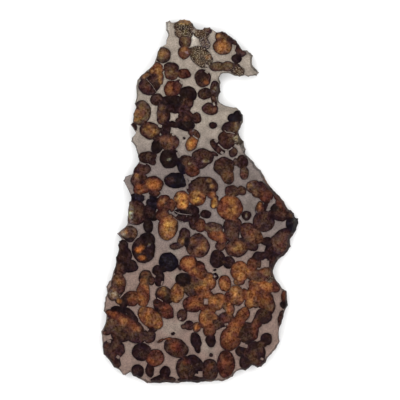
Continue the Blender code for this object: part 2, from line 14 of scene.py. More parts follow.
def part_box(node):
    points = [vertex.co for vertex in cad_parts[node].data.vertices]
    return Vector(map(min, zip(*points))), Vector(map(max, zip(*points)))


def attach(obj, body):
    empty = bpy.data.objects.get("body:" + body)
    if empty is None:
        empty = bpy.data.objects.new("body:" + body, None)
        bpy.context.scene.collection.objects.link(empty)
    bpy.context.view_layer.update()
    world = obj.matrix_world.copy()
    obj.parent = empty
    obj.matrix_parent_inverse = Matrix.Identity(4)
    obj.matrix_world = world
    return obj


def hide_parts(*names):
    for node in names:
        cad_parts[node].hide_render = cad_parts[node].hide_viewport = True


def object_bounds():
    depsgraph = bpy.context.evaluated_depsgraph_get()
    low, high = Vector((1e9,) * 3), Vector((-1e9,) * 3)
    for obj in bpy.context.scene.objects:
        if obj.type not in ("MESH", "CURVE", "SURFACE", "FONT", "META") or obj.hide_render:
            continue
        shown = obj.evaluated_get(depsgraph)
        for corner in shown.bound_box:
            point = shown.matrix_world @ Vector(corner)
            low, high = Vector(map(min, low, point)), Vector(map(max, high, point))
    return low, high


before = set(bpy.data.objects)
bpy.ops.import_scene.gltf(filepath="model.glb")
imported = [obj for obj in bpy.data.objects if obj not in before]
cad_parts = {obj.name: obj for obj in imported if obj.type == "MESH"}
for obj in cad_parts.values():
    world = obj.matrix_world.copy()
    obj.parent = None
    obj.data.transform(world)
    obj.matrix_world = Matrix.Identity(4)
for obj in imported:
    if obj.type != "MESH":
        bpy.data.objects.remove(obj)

bl_info = {
    "name": "Pallasite Slice",
    "version": (1, 0, 0),
    "blender": (4, 5, 0),
    "location": "3D View > Sidebar > Pallasite",
    "description": "A thin polished slice of a pallasite meteorite",
    "category": "Object",
}

MM = 0.001
CAD_BOX = [list(corner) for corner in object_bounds()]

# Outline of the slice, clockwise from the top: x, y, and how far the polished face lies inside it.
OUTLINE = (
    (-5.2, 60.75, 1.3), (-3.4, 60.3, 1.2), (-2.4, 59.4, 0.9), (-1.7, 58.2, 0.4), (-0.6, 57.4, 0.2),
    (0.9, 57.3, 0.2), (1.4, 58.0, 0.4), (3.4, 58.1, 0.4), (4.3, 57.3, 0.3), (5.6, 56.4, 0.2),
    (7.4, 56.8, 0.4), (8.5, 56.4, 0.4), (10.0, 55.2, 0.4), (12.0, 53.8, 0.5), (13.1, 52.2, 0.5),
    (14.3, 50.4, 0.3), (15.8, 50.4, 0.6), (17.0, 49.5, 0.8), (17.75, 48.6, 0.8), (17.4, 47.3, 0.8),
    (17.5, 45.6, 0.8), (18.7, 44.2, 0.9), (19.85, 43.0, 0.9), (19.0, 41.9, 0.6), (17.2, 41.85, 0.4),
    (16.2, 41.5, 0.3), (15.1, 42.05, 0.3), (13.3, 41.55, 0.3), (11.4, 42.0, 0.3), (9.6, 42.8, 0.3),
    (7.2, 42.5, 0.4), (6.4, 41.2, 0.4), (6.95, 39.5, 0.9), (6.8, 37.8, 1.2), (7.05, 36.5, 1.2),
    (6.2, 34.8, 0.9), (6.4, 33.3, 0.7), (7.4, 32.5, 0.4), (9.4, 31.7, 0.3), (12.2, 31.3, 0.3),
    (13.4, 30.3, 0.5), (14.4, 28.8, 0.7), (14.45, 26.4, 0.7), (13.6, 24.6, 0.6), (12.9, 23.0, 0.4),
    (13.5, 21.4, 1.0), (14.7, 20.0, 1.5), (14.8, 18.6, 1.5), (15.4, 17.3, 1.4), (15.0, 16.1, 0.8),
    (16.4, 14.6, 0.9), (17.9, 13.2, 1.0), (18.6, 11.9, 1.0), (20.3, 10.4, 1.0), (21.5, 8.3, 1.1),
    (22.2, 6.8, 1.2), (23.6, 4.8, 1.0), (25.2, 3.1, 1.0), (26.6, 1.8, 1.0), (28.2, -0.2, 1.1),
    (29.3, -2.4, 0.9), (30.4, -2.95, 0.8), (31.4, -3.9, 0.9), (31.85, -5.4, 0.9), (32.9, -5.7, 1.2),
    (32.9, -7.5, 1.4), (32.2, -9.6, 1.4), (31.0, -11.6, 1.2), (30.1, -12.9, 1.0), (30.4, -15.1, 1.1),
    (29.3, -16.8, 1.1), (28.1, -18.2, 1.0), (26.3, -19.4, 1.0), (25.1, -21.3, 0.8), (24.4, -23.2, 0.6),
    (25.1, -25.7, 0.6), (26.5, -27.5, 0.8), (27.5, -29.1, 0.6), (29.0, -30.0, 0.7), (29.4, -34.8, 0.7),
    (28.4, -36.5, 0.6), (28.0, -38.6, 0.6), (27.3, -40.8, 0.5), (26.4, -43.2, 0.4), (26.4, -45.4, 0.5),
    (26.7, -46.8, 0.6), (25.6, -49.0, 0.7), (24.0, -50.9, 0.7), (22.7, -52.1, 0.7), (22.0, -53.9, 0.7),
    (20.5, -55.3, 0.8), (19.3, -55.6, 0.8), (17.6, -54.7, 0.6), (16.4, -55.7, 0.7), (15.3, -56.55, 0.8),
    (13.6, -56.3, 0.8), (12.0, -57.0, 0.7), (11.1, -58.5, 0.7), (9.4, -59.4, 0.9), (7.5, -60.1, 1.0),
    (5.6, -59.9, 0.9), (3.7, -60.3, 0.9), (1.0, -60.3, 0.9), (-0.9, -60.7, 1.0), (-3.0, -60.3, 0.9),
    (-5.2, -60.4, 0.9), (-7.0, -60.75, 1.0), (-9.2, -60.7, 1.0), (-11.2, -60.4, 0.9), (-13.2, -60.75, 1.0),
    (-16.8, -60.7, 0.9), (-17.6, -60.75, 1.0), (-19.4, -59.6, 0.8), (-22.3, -58.3, 0.7), (-23.1, -57.0, 0.5),
    (-24.9, -58.15, 0.6), (-25.6, -58.0, 0.6), (-26.8, -56.3, 0.6), (-28.6, -55.5, 0.6), (-30.8, -52.4, 0.6),
    (-32.1, -51.2, 0.6), (-32.5, -48.6, 0.5), (-32.6, -45.6, 0.5), (-32.9, -43.4, 0.6), (-31.7, -41.3, 0.5),
    (-31.2, -39.0, 0.5), (-31.3, -37.6, 0.4), (-32.1, -36.7, 0.5), (-31.85, -34.0, 0.6), (-31.5, -32.0, 0.5),
    (-30.8, -30.6, 0.4), (-31.25, -28.5, 0.6), (-30.2, -26.6, 0.5), (-29.6, -26.2, 0.5), (-28.9, -23.6, 0.4),
    (-28.0, -20.8, 0.4), (-28.0, -18.8, 0.4), (-27.0, -16.2, 0.3), (-27.3, -14.6, 0.4), (-26.9, -13.3, 0.3),
    (-26.0, -12.7, 0.2), (-27.6, -10.8, 0.4), (-25.8, -9.3, 0.3), (-24.2, -7.8, 0.2), (-24.1, -5.4, 0.2),
    (-23.9, -2.6, 0.2), (-23.6, -0.3, 0.2), (-23.0, 0.3, 0.2), (-23.1, 2.1, 0.2), (-24.9, 5.8, 0.3),
    (-25.5, 6.8, 0.4), (-24.9, 8.2, 0.4), (-23.6, 8.75, 0.3), (-22.5, 9.1, 0.2), (-22.0, 10.8, 0.3),
    (-20.2, 13.2, 0.2), (-20.6, 14.8, 0.3), (-21.1, 17.0, 0.5), (-21.6, 18.5, 0.5), (-22.9, 20.0, 0.6),
    (-22.6, 21.3, 0.4), (-21.3, 22.8, 0.2), (-23.1, 25.6, 0.4), (-22.3, 26.4, 0.3), (-22.2, 29.2, 0.3),
    (-21.3, 31.1, 0.3), (-21.75, 32.6, 0.4), (-21.1, 34.4, 0.6), (-21.2, 38.4, 0.8), (-20.8, 40.5, 0.7),
    (-19.4, 42.2, 0.5), (-17.6, 43.7, 0.5), (-15.6, 45.5, 0.5), (-14.6, 47.6, 0.4), (-14.0, 50.0, 0.3),
    (-13.2, 51.5, 0.2), (-11.2, 52.5, 0.2), (-11.1, 53.8, 0.3), (-10.5, 55.8, 0.5), (-11.3, 57.2, 0.9),
    (-11.4, 59.9, 0.9), (-10.0, 60.3, 0.7), (-9.4, 59.7, 0.5), (-7.9, 59.8, 0.7), (-6.6, 60.6, 1.1),
)

# Crystals as ellipses on the polished face: x, y, half length, half width, tilt in degrees and tone.
# Those of one row have grown together.
CRYSTALS = {
    "crown_crystals": ("ash", (
        (-5.3, 58.5, 3.3, 2.2, 0, "ash"), (-5.2, 56.3, 3, 2.5, 0, "ash"),
        (-4.9, 53.6, 2.9, 2.05, 90, "olive"), (-5.2, 49.6, 2.25, 1.9, 90, "honey"),
        (-3, 49.9, 1.6, 1.3, 0, "umber"), (0.5, 48.1, 4.3, 3, -41, "ash"),
        (0.6, 55.7, 2.5, 1.8, -15, "ash"), (1.6, 53.2, 2.7, 1.5, -60, "pearl"),
        (2.5, 57, 1.5, 1.2, 0, "olive"), (-1.8, 56.8, 1.3, 0.95, 0, "pearl"),
    )),
    "crown_honey_crystal": ("honey", (
        (7.65, 51.5, 3.15, 2.65, -5, "honey"), (6.9, 54.8, 1.9, 1.65, 90, "brown"),
        (10, 54.5, 3.3, 1.5, -36, "plum"),
    )),
    "crown_edge_crystals": ("umber", (
        (13, 51, 1.9, 1.25, -55, "umber"), (13.9, 49.3, 1.6, 1.1, 0, "plum"),
        (12.35, 47.6, 1.65, 1.5, 0, "black"),
    )),
    "brow_olive_crystal": ("olive", (
        (-12.3, 48.7, 2.7, 2.6, 0, "olive"),
    )),
    "brow_bar_crystals": ("brown", (
        (6, 44.9, 2.7, 1.5, 5, "olive"), (9.3, 45, 2.6, 1.55, 0, "olive"), (11.6, 45.1, 1.6, 1, 0, "plum"),
        (12.6, 43.5, 2.5, 1.7, -20, "ash"),
    )),
    "neck_dark_pair": ("umber", (
        (-9.6, 44.4, 2.6, 1.9, 0, "umber"), (-9.5, 42.6, 2.3, 2.2, 0, "brown"),
        (-5.4, 42.5, 2.4, 1.65, -5, "rust"),
    )),
    "neck_oval_crystal": ("brown", (
        (1.1, 41, 3, 2.65, 90, "umber"),
    )),
    "left_shoulder_crystals": ("plum", (
        (-14.5, 44.1, 2.3, 2.2, 0, "amber"), (-13.2, 41, 2.2, 1, 90, "honey"),
        (-18.2, 41.8, 2, 1.4, 30, "olive"), (-16, 41, 3.1, 2, 20, "umber"),
        (-17.2, 38.2, 3.3, 2.7, -15, "plum"), (-14.6, 39, 2.1, 1.5, 80, "black"),
    )),
    "neck_rust_crystal": ("rust", (
        (-9.2, 37.5, 2.9, 2.6, 0, "rust"), (-7.2, 39, 1.4, 1.5, 0, "brown"),
    )),
    "neck_side_crystals": ("umber", (
        (5.2, 37.4, 2.7, 1.7, 90, "plum"), (4.8, 33.5, 1.85, 0.95, -75, "olive"),
        (3.5, 30.8, 2.65, 2, -8, "plum"), (1.8, 35.8, 2.4, 1.9, 0, "umber"),
    )),
    "dark_chain_crystals": ("black", (
        (-3.9, 35.8, 3, 2.4, -20, "ink"), (-4, 33.2, 2.6, 2, 90, "umber"),
        (-14.3, 33.9, 2.2, 2, -15, "umber"), (-10.8, 33.2, 2.6, 2, 0, "ink"),
        (-7.6, 33, 2.6, 2.1, 0, "ink"), (-8.8, 31.2, 3.2, 1.8, 0, "black"), (-5.6, 31, 2.6, 2, 0, "plum"),
        (-12.7, 28.5, 3.6, 1.6, 90, "brown"), (-12.3, 31, 1.9, 1.6, 0, "brown"),
        (-11.5, 24.6, 2.8, 2, 90, "black"), (-8.6, 25.6, 1.8, 0.9, -20, "black"),
        (-4.6, 28.2, 2.5, 2.3, 0, "umber"), (-4.7, 25.4, 3.1, 2, -8, "ink"),
        (-1.1, 27.8, 1.75, 1.6, 90, "umber"),
        (-10.8, 28.3, 0.9, 1.6, 0, "umber"), (-7, 26.9, 1, 1, 0, "umber"),
    )),
    "mottled_amber_crystal": ("amber", (
        (-19.7, 29.5, 4.1, 3.3, 80, "olive"),
    )),
    "small_black_crystal": ("black", (
        (4.3, 25.3, 1.3, 1.05, 0, "black"),
    )),
    "right_shoulder_crystals": ("umber", (
        (11.6, 27.6, 2.3, 1.7, 0, "navy"), (12.9, 28.4, 1.9, 1.9, 0, "ink"),
        (9.8, 24.7, 2.6, 1.8, 15, "umber"), (12.3, 25, 2.2, 1.9, -60, "olive"),
        (9, 20.3, 3.4, 2.75, 100, "umber"), (12.6, 20.9, 2.2, 1.8, -50, "ash"),
        (5.9, 18.2, 3.1, 1.5, -48, "umber"), (11, 16.4, 1.6, 1.45, 90, "brown"),
        (11.2, 22.7, 2.4, 1.7, -30, "olive"),
    )),
    "amber_seed_crystals": ("honey", (
        (-1.9, 22.5, 2.15, 1.35, -35, "brown"), (-2.6, 19.4, 2.9, 1.9, 62, "honey"),
    )),
    "honey_and_dark_crystals": ("brown", (
        (-16.6, 23.5, 3.4, 2.8, -20, "brown"), (-10.2, 19.8, 3.4, 2.9, -10, "brown"),
        (-13.9, 20.9, 1.6, 1.2, 0, "umber"), (-14.3, 18.2, 2.4, 1.9, 75, "ink"),
        (-10, 14.4, 3.4, 3.2, 90, "ink"),
    )),
    "left_brown_crystals": ("brown", (
        (-17.4, 14.6, 3.1, 1.9, 5, "umber"), (-15.9, 13.3, 1.5, 1.2, -30, "umber"),
    )),
    "grey_mass_crystals": ("ash", (
        (1, 14.8, 3.6, 2.7, -12, "umber"), (-1, 12.9, 4.2, 2.3, 10, "plum"), (-4.6, 13.4, 2.3, 2, 0, "umber"),
        (-2.5, 10.4, 2.6, 2.2, -15, "rust"), (4.7, 15.7, 1.4, 0.6, -15, "umber"),
        (-6, 11.4, 2.7, 1.3, -68, "navy"), (-3, 12.6, 2.4, 1.6, 0, "umber"),
    )),
    "right_small_crystals": ("umber", (
        (14.2, 13.2, 2.3, 2, 90, "umber"), (14.9, 9.5, 2.3, 1.5, 90, "olive"),
        (12, 13.1, 1.2, 1, 90, "olive"),
    )),
    "drop_crystal": ("brown", (
        (8.1, 11.6, 3.4, 3.1, 0, "umber"), (9.2, 8.7, 3, 2.15, 112, "brown"),
    )),
    "black_bean_crystal": ("black", (
        (-7.9, 6.9, 4, 2.6, 0, "navy"),
    )),
    "left_orange_crystals": ("orange", (
        (-21, 7, 2.3, 1.9, 90, "brown"), (-19.4, 7.7, 2.1, 1.3, 0, "umber"),
        (-20.3, 4.1, 1.9, 1.9, 0, "orange"), (-15.4, 5.6, 3.3, 2.7, -5, "rust"),
        (-18.2, 4.5, 1.9, 1.8, 0, "orange"), (-15, 2.7, 1.8, 1.1, 0, "brown"),
        (-19.3, 10.6, 2.9, 2.05, 0, "plum"),
    )),
    "right_olive_crystals": ("rust", (
        (17.9, 4.9, 2.4, 2.2, 0, "olive"), (20.8, 4.4, 2.6, 1.9, -25, "plum"),
        (21.9, 2.1, 2.9, 2.4, -60, "rust"), (19, 2.5, 1.6, 1.3, -45, "brown"),
        (24.4, 3.1, 1.9, 1.1, -50, "plum"),
    )),
    "centre_brown_crystals": ("brown", (
        (1.4, 5, 4.7, 3.2, 0, "umber"), (-0.9, 1.4, 3, 2.9, 90, "amber"), (-3, 4.3, 1.4, 1.6, 0, "plum"),
        (4, 2.4, 1.6, 1.5, 0, "honey"), (5.3, 1.2, 0.9, 0.8, 0, "umber"),
        (4.9, -0.6, 1.9, 1.35, 80, "honey"),
    )),
    "left_middle_crystals": ("plum", (
        (-20.8, 1.1, 2.4, 1.6, 0, "navy"), (-15.9, -1.1, 3.2, 1.9, 80, "navy"),
        (-16.9, -3.6, 2.7, 2.2, 90, "black"), (-21.4, -2.8, 3.4, 3.2, 90, "umber"),
        (-21.3, -5.8, 3.3, 1.9, 0, "umber"), (-17.2, -8.2, 2.5, 1.6, 90, "ink"),
        (-12, -0.9, 2.9, 2.6, 90, "rust"), (-12.4, -4.6, 2.3, 2, 0, "rust"),
        (-10.6, -8.6, 4.4, 3.3, 80, "honey"), (-9.2, -1.4, 2.2, 1.1, 90, "amber"),
        (-15.3, -5.4, 1.2, 1.2, 0, "ink"),
    )),
    "right_point_crystals": ("plum", (
        (26.4, 1, 2.2, 1.2, -50, "rust"), (27.3, -1.6, 2.6, 1.6, -60, "rust"),
        (19.9, -2.4, 2.3, 1.4, 80, "brown"), (21.3, -6.7, 3.6, 3.5, 0, "plum"),
        (21.9, -2.2, 1.8, 0.9, 78, "black"), (25.5, -2.4, 1.9, 1.5, 0, "ink"),
        (24, -4.6, 1.8, 1.6, 0, "black"), (27, -4.3, 2.6, 2.4, 0, "umber"), (30.4, -4.6, 2, 1.9, 0, "plum"),
        (31.2, -7.4, 3.2, 2.4, 75, "navy"),
    )),
    "centre_vein_crystals": ("black", (
        (-6, 1, 2.5, 2.4, 0, "honey"), (-5.9, -0.8, 2.4, 2, 0, "honey"), (-2.5, -3, 2.3, 1.7, -20, "black"),
        (-5.7, -3.5, 2.6, 1.1, 0, "ink"), (-2.2, -5, 2.2, 1.5, 0, "black"),
        (-5.2, -5.6, 3, 1.25, 0, "black"), (0.2, -8, 2.2, 2, 90, "rust"),
        (-2.2, -7.2, 2.2, 1.4, 100, "umber"),
    )),
    "centre_black_crystal": ("black", (
        (1.95, -4.25, 1.85, 1.35, -3, "black"),
    )),
    "right_black_crystal": ("black", (
        (15.55, -4.75, 1.55, 1.5, 90, "black"),
    )),
    "centre_orange_crystals": ("orange", (
        (10.1, -2.3, 4.3, 4.2, 0, "orange"), (10.6, 3.3, 2.3, 2.2, 0, "brown"),
        (13.9, 3.6, 1.65, 1.6, 0, "brown"), (12, 2.6, 1.2, 0.9, 0, "umber"), (4.6, -9, 3.2, 2, -5, "olive"),
        (5.6, -11.3, 3.4, 2, -20, "orange"), (7.2, -12.8, 1.9, 1.6, 0, "orange"),
        (7, -14.8, 1.7, 1.6, 0, "brown"), (10.8, -8.4, 3, 2.5, -20, "plum"),
        (12.3, -7.6, 1.75, 1.8, 0, "brown"), (10, -11.2, 2.2, 2.2, 0, "plum"),
        (12.2, -11, 1, 1.8, 0, "plum"),
    )),
    "left_tip_crystal": ("brown", (
        (-23.6, -10.6, 3, 2.3, -8, "olive"), (-23.4, -12.4, 1.7, 1.15, 0, "black"),
    )),
    "centre_grey_crystals": ("ash", (
        (-5, -10.9, 2.1, 1.8, 90, "plum"), (-6.2, -13.1, 2.1, 1.2, 90, "olive"),
        (-0.7, -15, 3.9, 3.8, 0, "brown"), (-0.5, -12.3, 1.9, 1.7, 0, "umber"),
        (-4, -13.5, 1.3, 2.1, 0, "black"), (-8.2, -15, 1.85, 1.15, 8, "plum"),
    )),
    "right_honey_crystals": ("honey", (
        (12.4, -15.4, 3.9, 3.2, 8, "brown"), (14.6, -13.2, 1.5, 1.2, 0, "black"),
        (17.4, -14.6, 2.4, 1.8, -30, "plum"), (16.9, -10.6, 3.9, 2.9, -40, "brown"),
        (19.6, -12.2, 1.4, 2, 0, "amber"),
        (18.9, -8.7, 1.3, 1, -30, "black"),
    )),
    "left_large_dark_crystal": ("umber", (
        (-18.7, -16.2, 4.4, 3.9, 90, "black"), (-17.5, -12.8, 2.6, 2.3, 0, "ink"),
    )),
    "lower_black_pair": ("black", (
        (5.9, -19.2, 3, 2.5, 90, "black"), (9.5, -20.3, 2, 2, 0, "black"),
    )),
    "right_dark_crystals": ("plum", (
        (27.2, -14.2, 4.9, 3.9, 50, "plum"), (24, -16.3, 3.6, 2.3, 90, "black"),
        (22.2, -13.4, 2, 1.4, 0, "black"), (24.2, -19.5, 2.5, 1.5, 70, "umber"),
        (19.6, -18.4, 2.2, 1.7, 0, "black"), (23.9, -22.4, 1.3, 1.2, 0, "umber"),
        (17.5, -21.2, 2.5, 1.9, 90, "rust"), (13.5, -23.4, 3.4, 3.1, 100, "amber"),
        (13.1, -26.5, 1.8, 1.6, 0, "honey"), (18.5, -24.7, 2.9, 1.9, 0, "brown"),
        (21.9, -24.3, 2.6, 2.3, 0, "brown"),
        (27.6, -11, 3.6, 1.5, 28, "plum"), (21.6, -18, 2, 1.1, 0, "black"),
        (19.7, -20.6, 0.9, 1.5, 0, "brown"), (20.2, -25.8, 2.2, 1.6, 0, "brown"),
        (23.4, -26.2, 1.8, 1.8, 0, "ash"),
    )),
    "left_edge_crystals": ("plum", (
        (-25.7, -14.9, 1.95, 1.85, 0, "black"), (-25.4, -18.2, 3.2, 2.7, 90, "black"),
        (-23.4, -21.6, 2.7, 2.1, -10, "black"), (-26.6, -22.4, 2.4, 2.2, 0, "umber"),
        (-27, -27.6, 3.6, 2.5, 90, "brown"), (-28.8, -30.7, 2.4, 1.9, 90, "olive"),
    )),
    "black_round_crystals": ("black", (
        (-10.4, -20.2, 3.3, 3, -35, "navy"), (-13.9, -23, 1.9, 1.8, 20, "black"),
        (-13.4, -26, 2.4, 1.6, 75, "black"),
        (-12.2, -22.3, 1.9, 1.5, 10, "ink"),
    )),
    "small_amber_crystal": ("amber", (
        (8.4, -27.4, 2.7, 2.2, 100, "orange"),
    )),
    "centre_amber_crystals": ("amber", (
        (5.1, -25.1, 1.15, 1.1, 0, "black"), (-3.6, -20.9, 3.1, 2.8, -20, "orange"),
        (-0.2, -22, 1.8, 2.1, 0, "rust"), (-5.4, -26.3, 2.6, 2.5, 0, "ink"),
        (-3.6, -29.1, 2.2, 1.8, 0, "umber"), (-7.6, -30.5, 3.3, 2.3, 85, "amber"),
        (-12, -31.1, 2.8, 2.6, -45, "umber"), (5.7, -33.3, 3.2, 2.4, 32, "amber"),
        (0.3, -24.8, 2.9, 2.4, 90, "rust"), (2.9, -26.8, 3, 2.5, 90, "amber"),
        (-0.8, -26.6, 2.4, 2.3, 0, "brown"), (0.8, -29.9, 3.1, 2.4, 0, "orange"),
        (2.3, -31.2, 2.4, 1.4, 0, "orange"),
        (-10.7, -33, 1.7, 1.1, -10, "ink"), (-2.4, -30.6, 2.2, 1.2, 0, "plum"),
        (-0.8, -31, 1.6, 1, 0, "rust"),
        (-2.2, -23.6, 1.9, 1.6, 0, "orange"),
    )),
    "left_column_crystals": ("orange", (
        (-18, -25.5, 2.6, 2.3, 90, "umber"), (-18.9, -31, 4.3, 2.3, 90, "orange"),
        (-16.2, -26.4, 1.3, 1.6, 0, "brown"), (-22.6, -32.4, 2.7, 2.6, 0, "rust"),
        (-25.3, -33.2, 2.4, 1.7, 90, "black"), (-27, -33.1, 1.1, 1.3, 0, "brown"),
    )),
    "right_amber_crystals": ("orange", (
        (18.8, -28.2, 3.1, 2, -10, "orange"), (22.6, -28.3, 2.6, 2.3, -20, "orange"),
        (25.2, -28.2, 2.2, 1.9, 90, "rust"), (17, -31.3, 1.7, 2.3, 0, "amber"),
        (16.7, -33.9, 1.7, 1.9, 0, "amber"), (18.6, -33.4, 1.3, 2.2, 0, "brown"),
        (21.3, -32.8, 3.2, 3, 0, "rust"), (23.3, -34.6, 3, 1.7, 100, "brown"),
        (14.9, -31.1, 1.3, 1.9, 0, "orange"), (20.2, -30.6, 2.4, 1.5, 0, "rust"),
        (12.2, -31.4, 3.4, 2.6, 100, "honey"), (9.3, -32.7, 2.6, 1.1, 90, "rust"),
    )),
    "right_rim_crystals": ("umber", (
        (28.1, -31.6, 1.95, 0.95, 85, "rust"), (28.4, -34.3, 1.6, 1.4, 0, "ink"),
    )),
    "round_amber_crystal": ("amber", (
        (-2.3, -34.2, 3.4, 2.7, 0, "rust"),
    )),
    "brick_and_amber_crystals": ("rust", (
        (-12.1, -35.8, 4.2, 2.5, -45, "rust"), (-16.4, -38.9, 4.8, 3, -40, "amber"),
        (-16, -42.8, 1.9, 1, 10, "black"),
    )),
    "small_umber_crystal": ("umber", (
        (-5.8, -38, 2, 1.65, 90, "umber"),
        (-4.8, -36.4, 0.8, 0.6, -30, "umber"),
    )),
    "lower_amber_crystals": ("amber", (
        (3.7, -46.4, 2.2, 1.7, 90, "black"), (2.2, -39, 3.6, 2.5, 90, "amber"),
        (3.3, -42.8, 2.5, 2.1, 60, "rust"), (8, -39.6, 3.6, 2.1, 22, "plum"),
        (5.6, -41.5, 1.9, 1.3, 30, "brown"), (9.9, -35.8, 3, 1.6, 90, "honey"),
        (1.2, -35.3, 2.2, 1.2, 0, "orange"), (3.6, -36.4, 1.8, 1.5, 0, "orange"),
        (8.5, -34.6, 1.2, 1.4, 0, "brown"),
        (0.6, -33.5, 1.4, 0.8, 90, "orange"), (3.4, -33.3, 1.4, 0.7, 90, "amber"),
        (2, -35.3, 1.7, 0.9, 0, "orange"), (4.9, -38.7, 1.2, 1.3, 0, "orange"),
        (7.6, -38.2, 1.8, 0.9, 28, "plum"), (6.2, -35.5, 1.6, 0.7, 28, "orange"),
        (0.9, -41.3, 1.2, 1, 0, "rust"),
    )),
    "small_orange_pair": ("plum", (
        (-3.6, -41.4, 1.7, 1.5, 0, "plum"), (-1, -42, 1.7, 1.35, 90, "honey"),
        (-5.2, -41.8, 0.9, 0.7, 0, "olive"),
    )),
    "lower_right_crystals": ("orange", (
        (21.2, -38.3, 3, 2.6, 20, "umber"), (19.2, -40.3, 2, 1.6, 90, "rust"),
        (14.2, -38.2, 3.2, 2.1, 60, "orange"), (11.5, -42.4, 2.8, 2.8, 50, "orange"),
        (10.3, -45.6, 4.3, 3.4, 70, "rust"), (15.6, -43.8, 3.4, 3.2, 80, "umber"),
        (18, -43.2, 3.3, 1.6, 85, "rust"),
        (12.8, -40.7, 2.8, 2.3, 55, "orange"),
    )),
    "lower_left_crystals": ("umber", (
        (-28.6, -37.9, 3.2, 1.6, -18, "rust"), (-25.2, -39.6, 3.7, 2, -27, "rust"),
        (-22, -41.9, 3.3, 1.9, -30, "rust"), (-26.4, -36.2, 3.2, 1.1, -8, "ink"),
        (-22.6, -38, 3.2, 1.1, -52, "black"), (-29.6, -41.4, 3, 2.4, 0, "olive"),
        (-26, -44.3, 3.6, 2.7, 0, "umber"), (-21.4, -44.9, 3.5, 2.4, -15, "plum"),
        (-17, -45, 2.3, 2.2, 90, "plum"), (-28.9, -49.3, 3.9, 3.2, 0, "plum"),
        (-28.5, -53.9, 2.3, 2.1, 90, "umber"),
        (-20, -42, 2.3, 0.9, -58, "umber"), (-24.9, -42.5, 3, 1.6, -8, "brown"),
        (-30.9, -43.7, 1.6, 0.9, 0, "brown"),
    )),
    "black_column_crystal": ("black", (
        (-1.3, -46.4, 2.7, 1.75, 105, "black"), (-0.7, -49, 1.6, 1, 95, "black"),
    )),
    "lower_rust_crystal": ("rust", (
        (-7.9, -48.9, 4.2, 3.1, -25, "umber"),
    )),
    "lower_right_dark_crystals": ("umber", (
        (22.2, -45.9, 2.05, 1.95, 90, "black"), (17.8, -50.6, 4, 3.9, 0, "umber"),
        (15.4, -53.6, 2.5, 2.2, 90, "black"), (19.4, -53.4, 2.5, 2.1, 0, "plum"),
        (14, -50, 2, 1.9, 0, "black"), (20.6, -47.6, 1.7, 1.2, 0, "umber"),
    )),
    "lower_left_dark_pair": ("black", (
        (-19.3, -50.2, 3.3, 2.9, 0, "black"), (-14.9, -52.2, 3.1, 2.9, 0, "rust"),
        (-16.7, -56.3, 2.35, 1.4, 90, "black"),
    )),
    "lower_red_crystal": ("rust", (
        (8.7, -54.2, 4.6, 2.95, 90, "rust"),
    )),
    "foot_crystals": ("rust", (
        (-4.6, -55.6, 3.9, 3.4, 90, "umber"), (-1.5, -54.3, 3.6, 2.3, -50, "black"),
        (3.3, -56.2, 3.6, 2.9, 90, "umber"), (-2.6, -59.4, 4.6, 1.2, 0, "black"),
    )),
    "foot_black_crystal": ("black", (
        (-20.7, -56.7, 2.3, 2.15, 90, "black"),
    )),
    "foot_edge_crystals": ("umber", (
        (-11.5, -57, 2, 1.75, 90, "black"), (-12.2, -59.6, 4.2, 1.4, 0, "umber"),
        (-13, -58.9, 2.8, 1.1, 25, "black"),
    )),
}
# Slight crystals of their own, too small for a solid of the source, in the same terms.
SLIGHT_CRYSTALS = (
    (-22.2, 25.1, 1.6, 0.9, -50, "black"), (27.3, -39.2, 3, 1.05, 80, "umber"), (3.75, -51.25, 0.65, 0.6, 0, "umber"),
    (-5.3, 21.1, 0.4, 0.35, 0, "black"), (5.1, -22.9, 0.4, 0.35, 0, "black"), (-7, -21.9, 1.3, 0.5, -55, "black"),
    (-13, -46.4, 1.3, 0.45, 30, "brown"), (-10.6, -45.8, 1.6, 0.4, 5, "orange"), (-8.9, -44.2, 0.5, 0.4, 0, "black"),
)

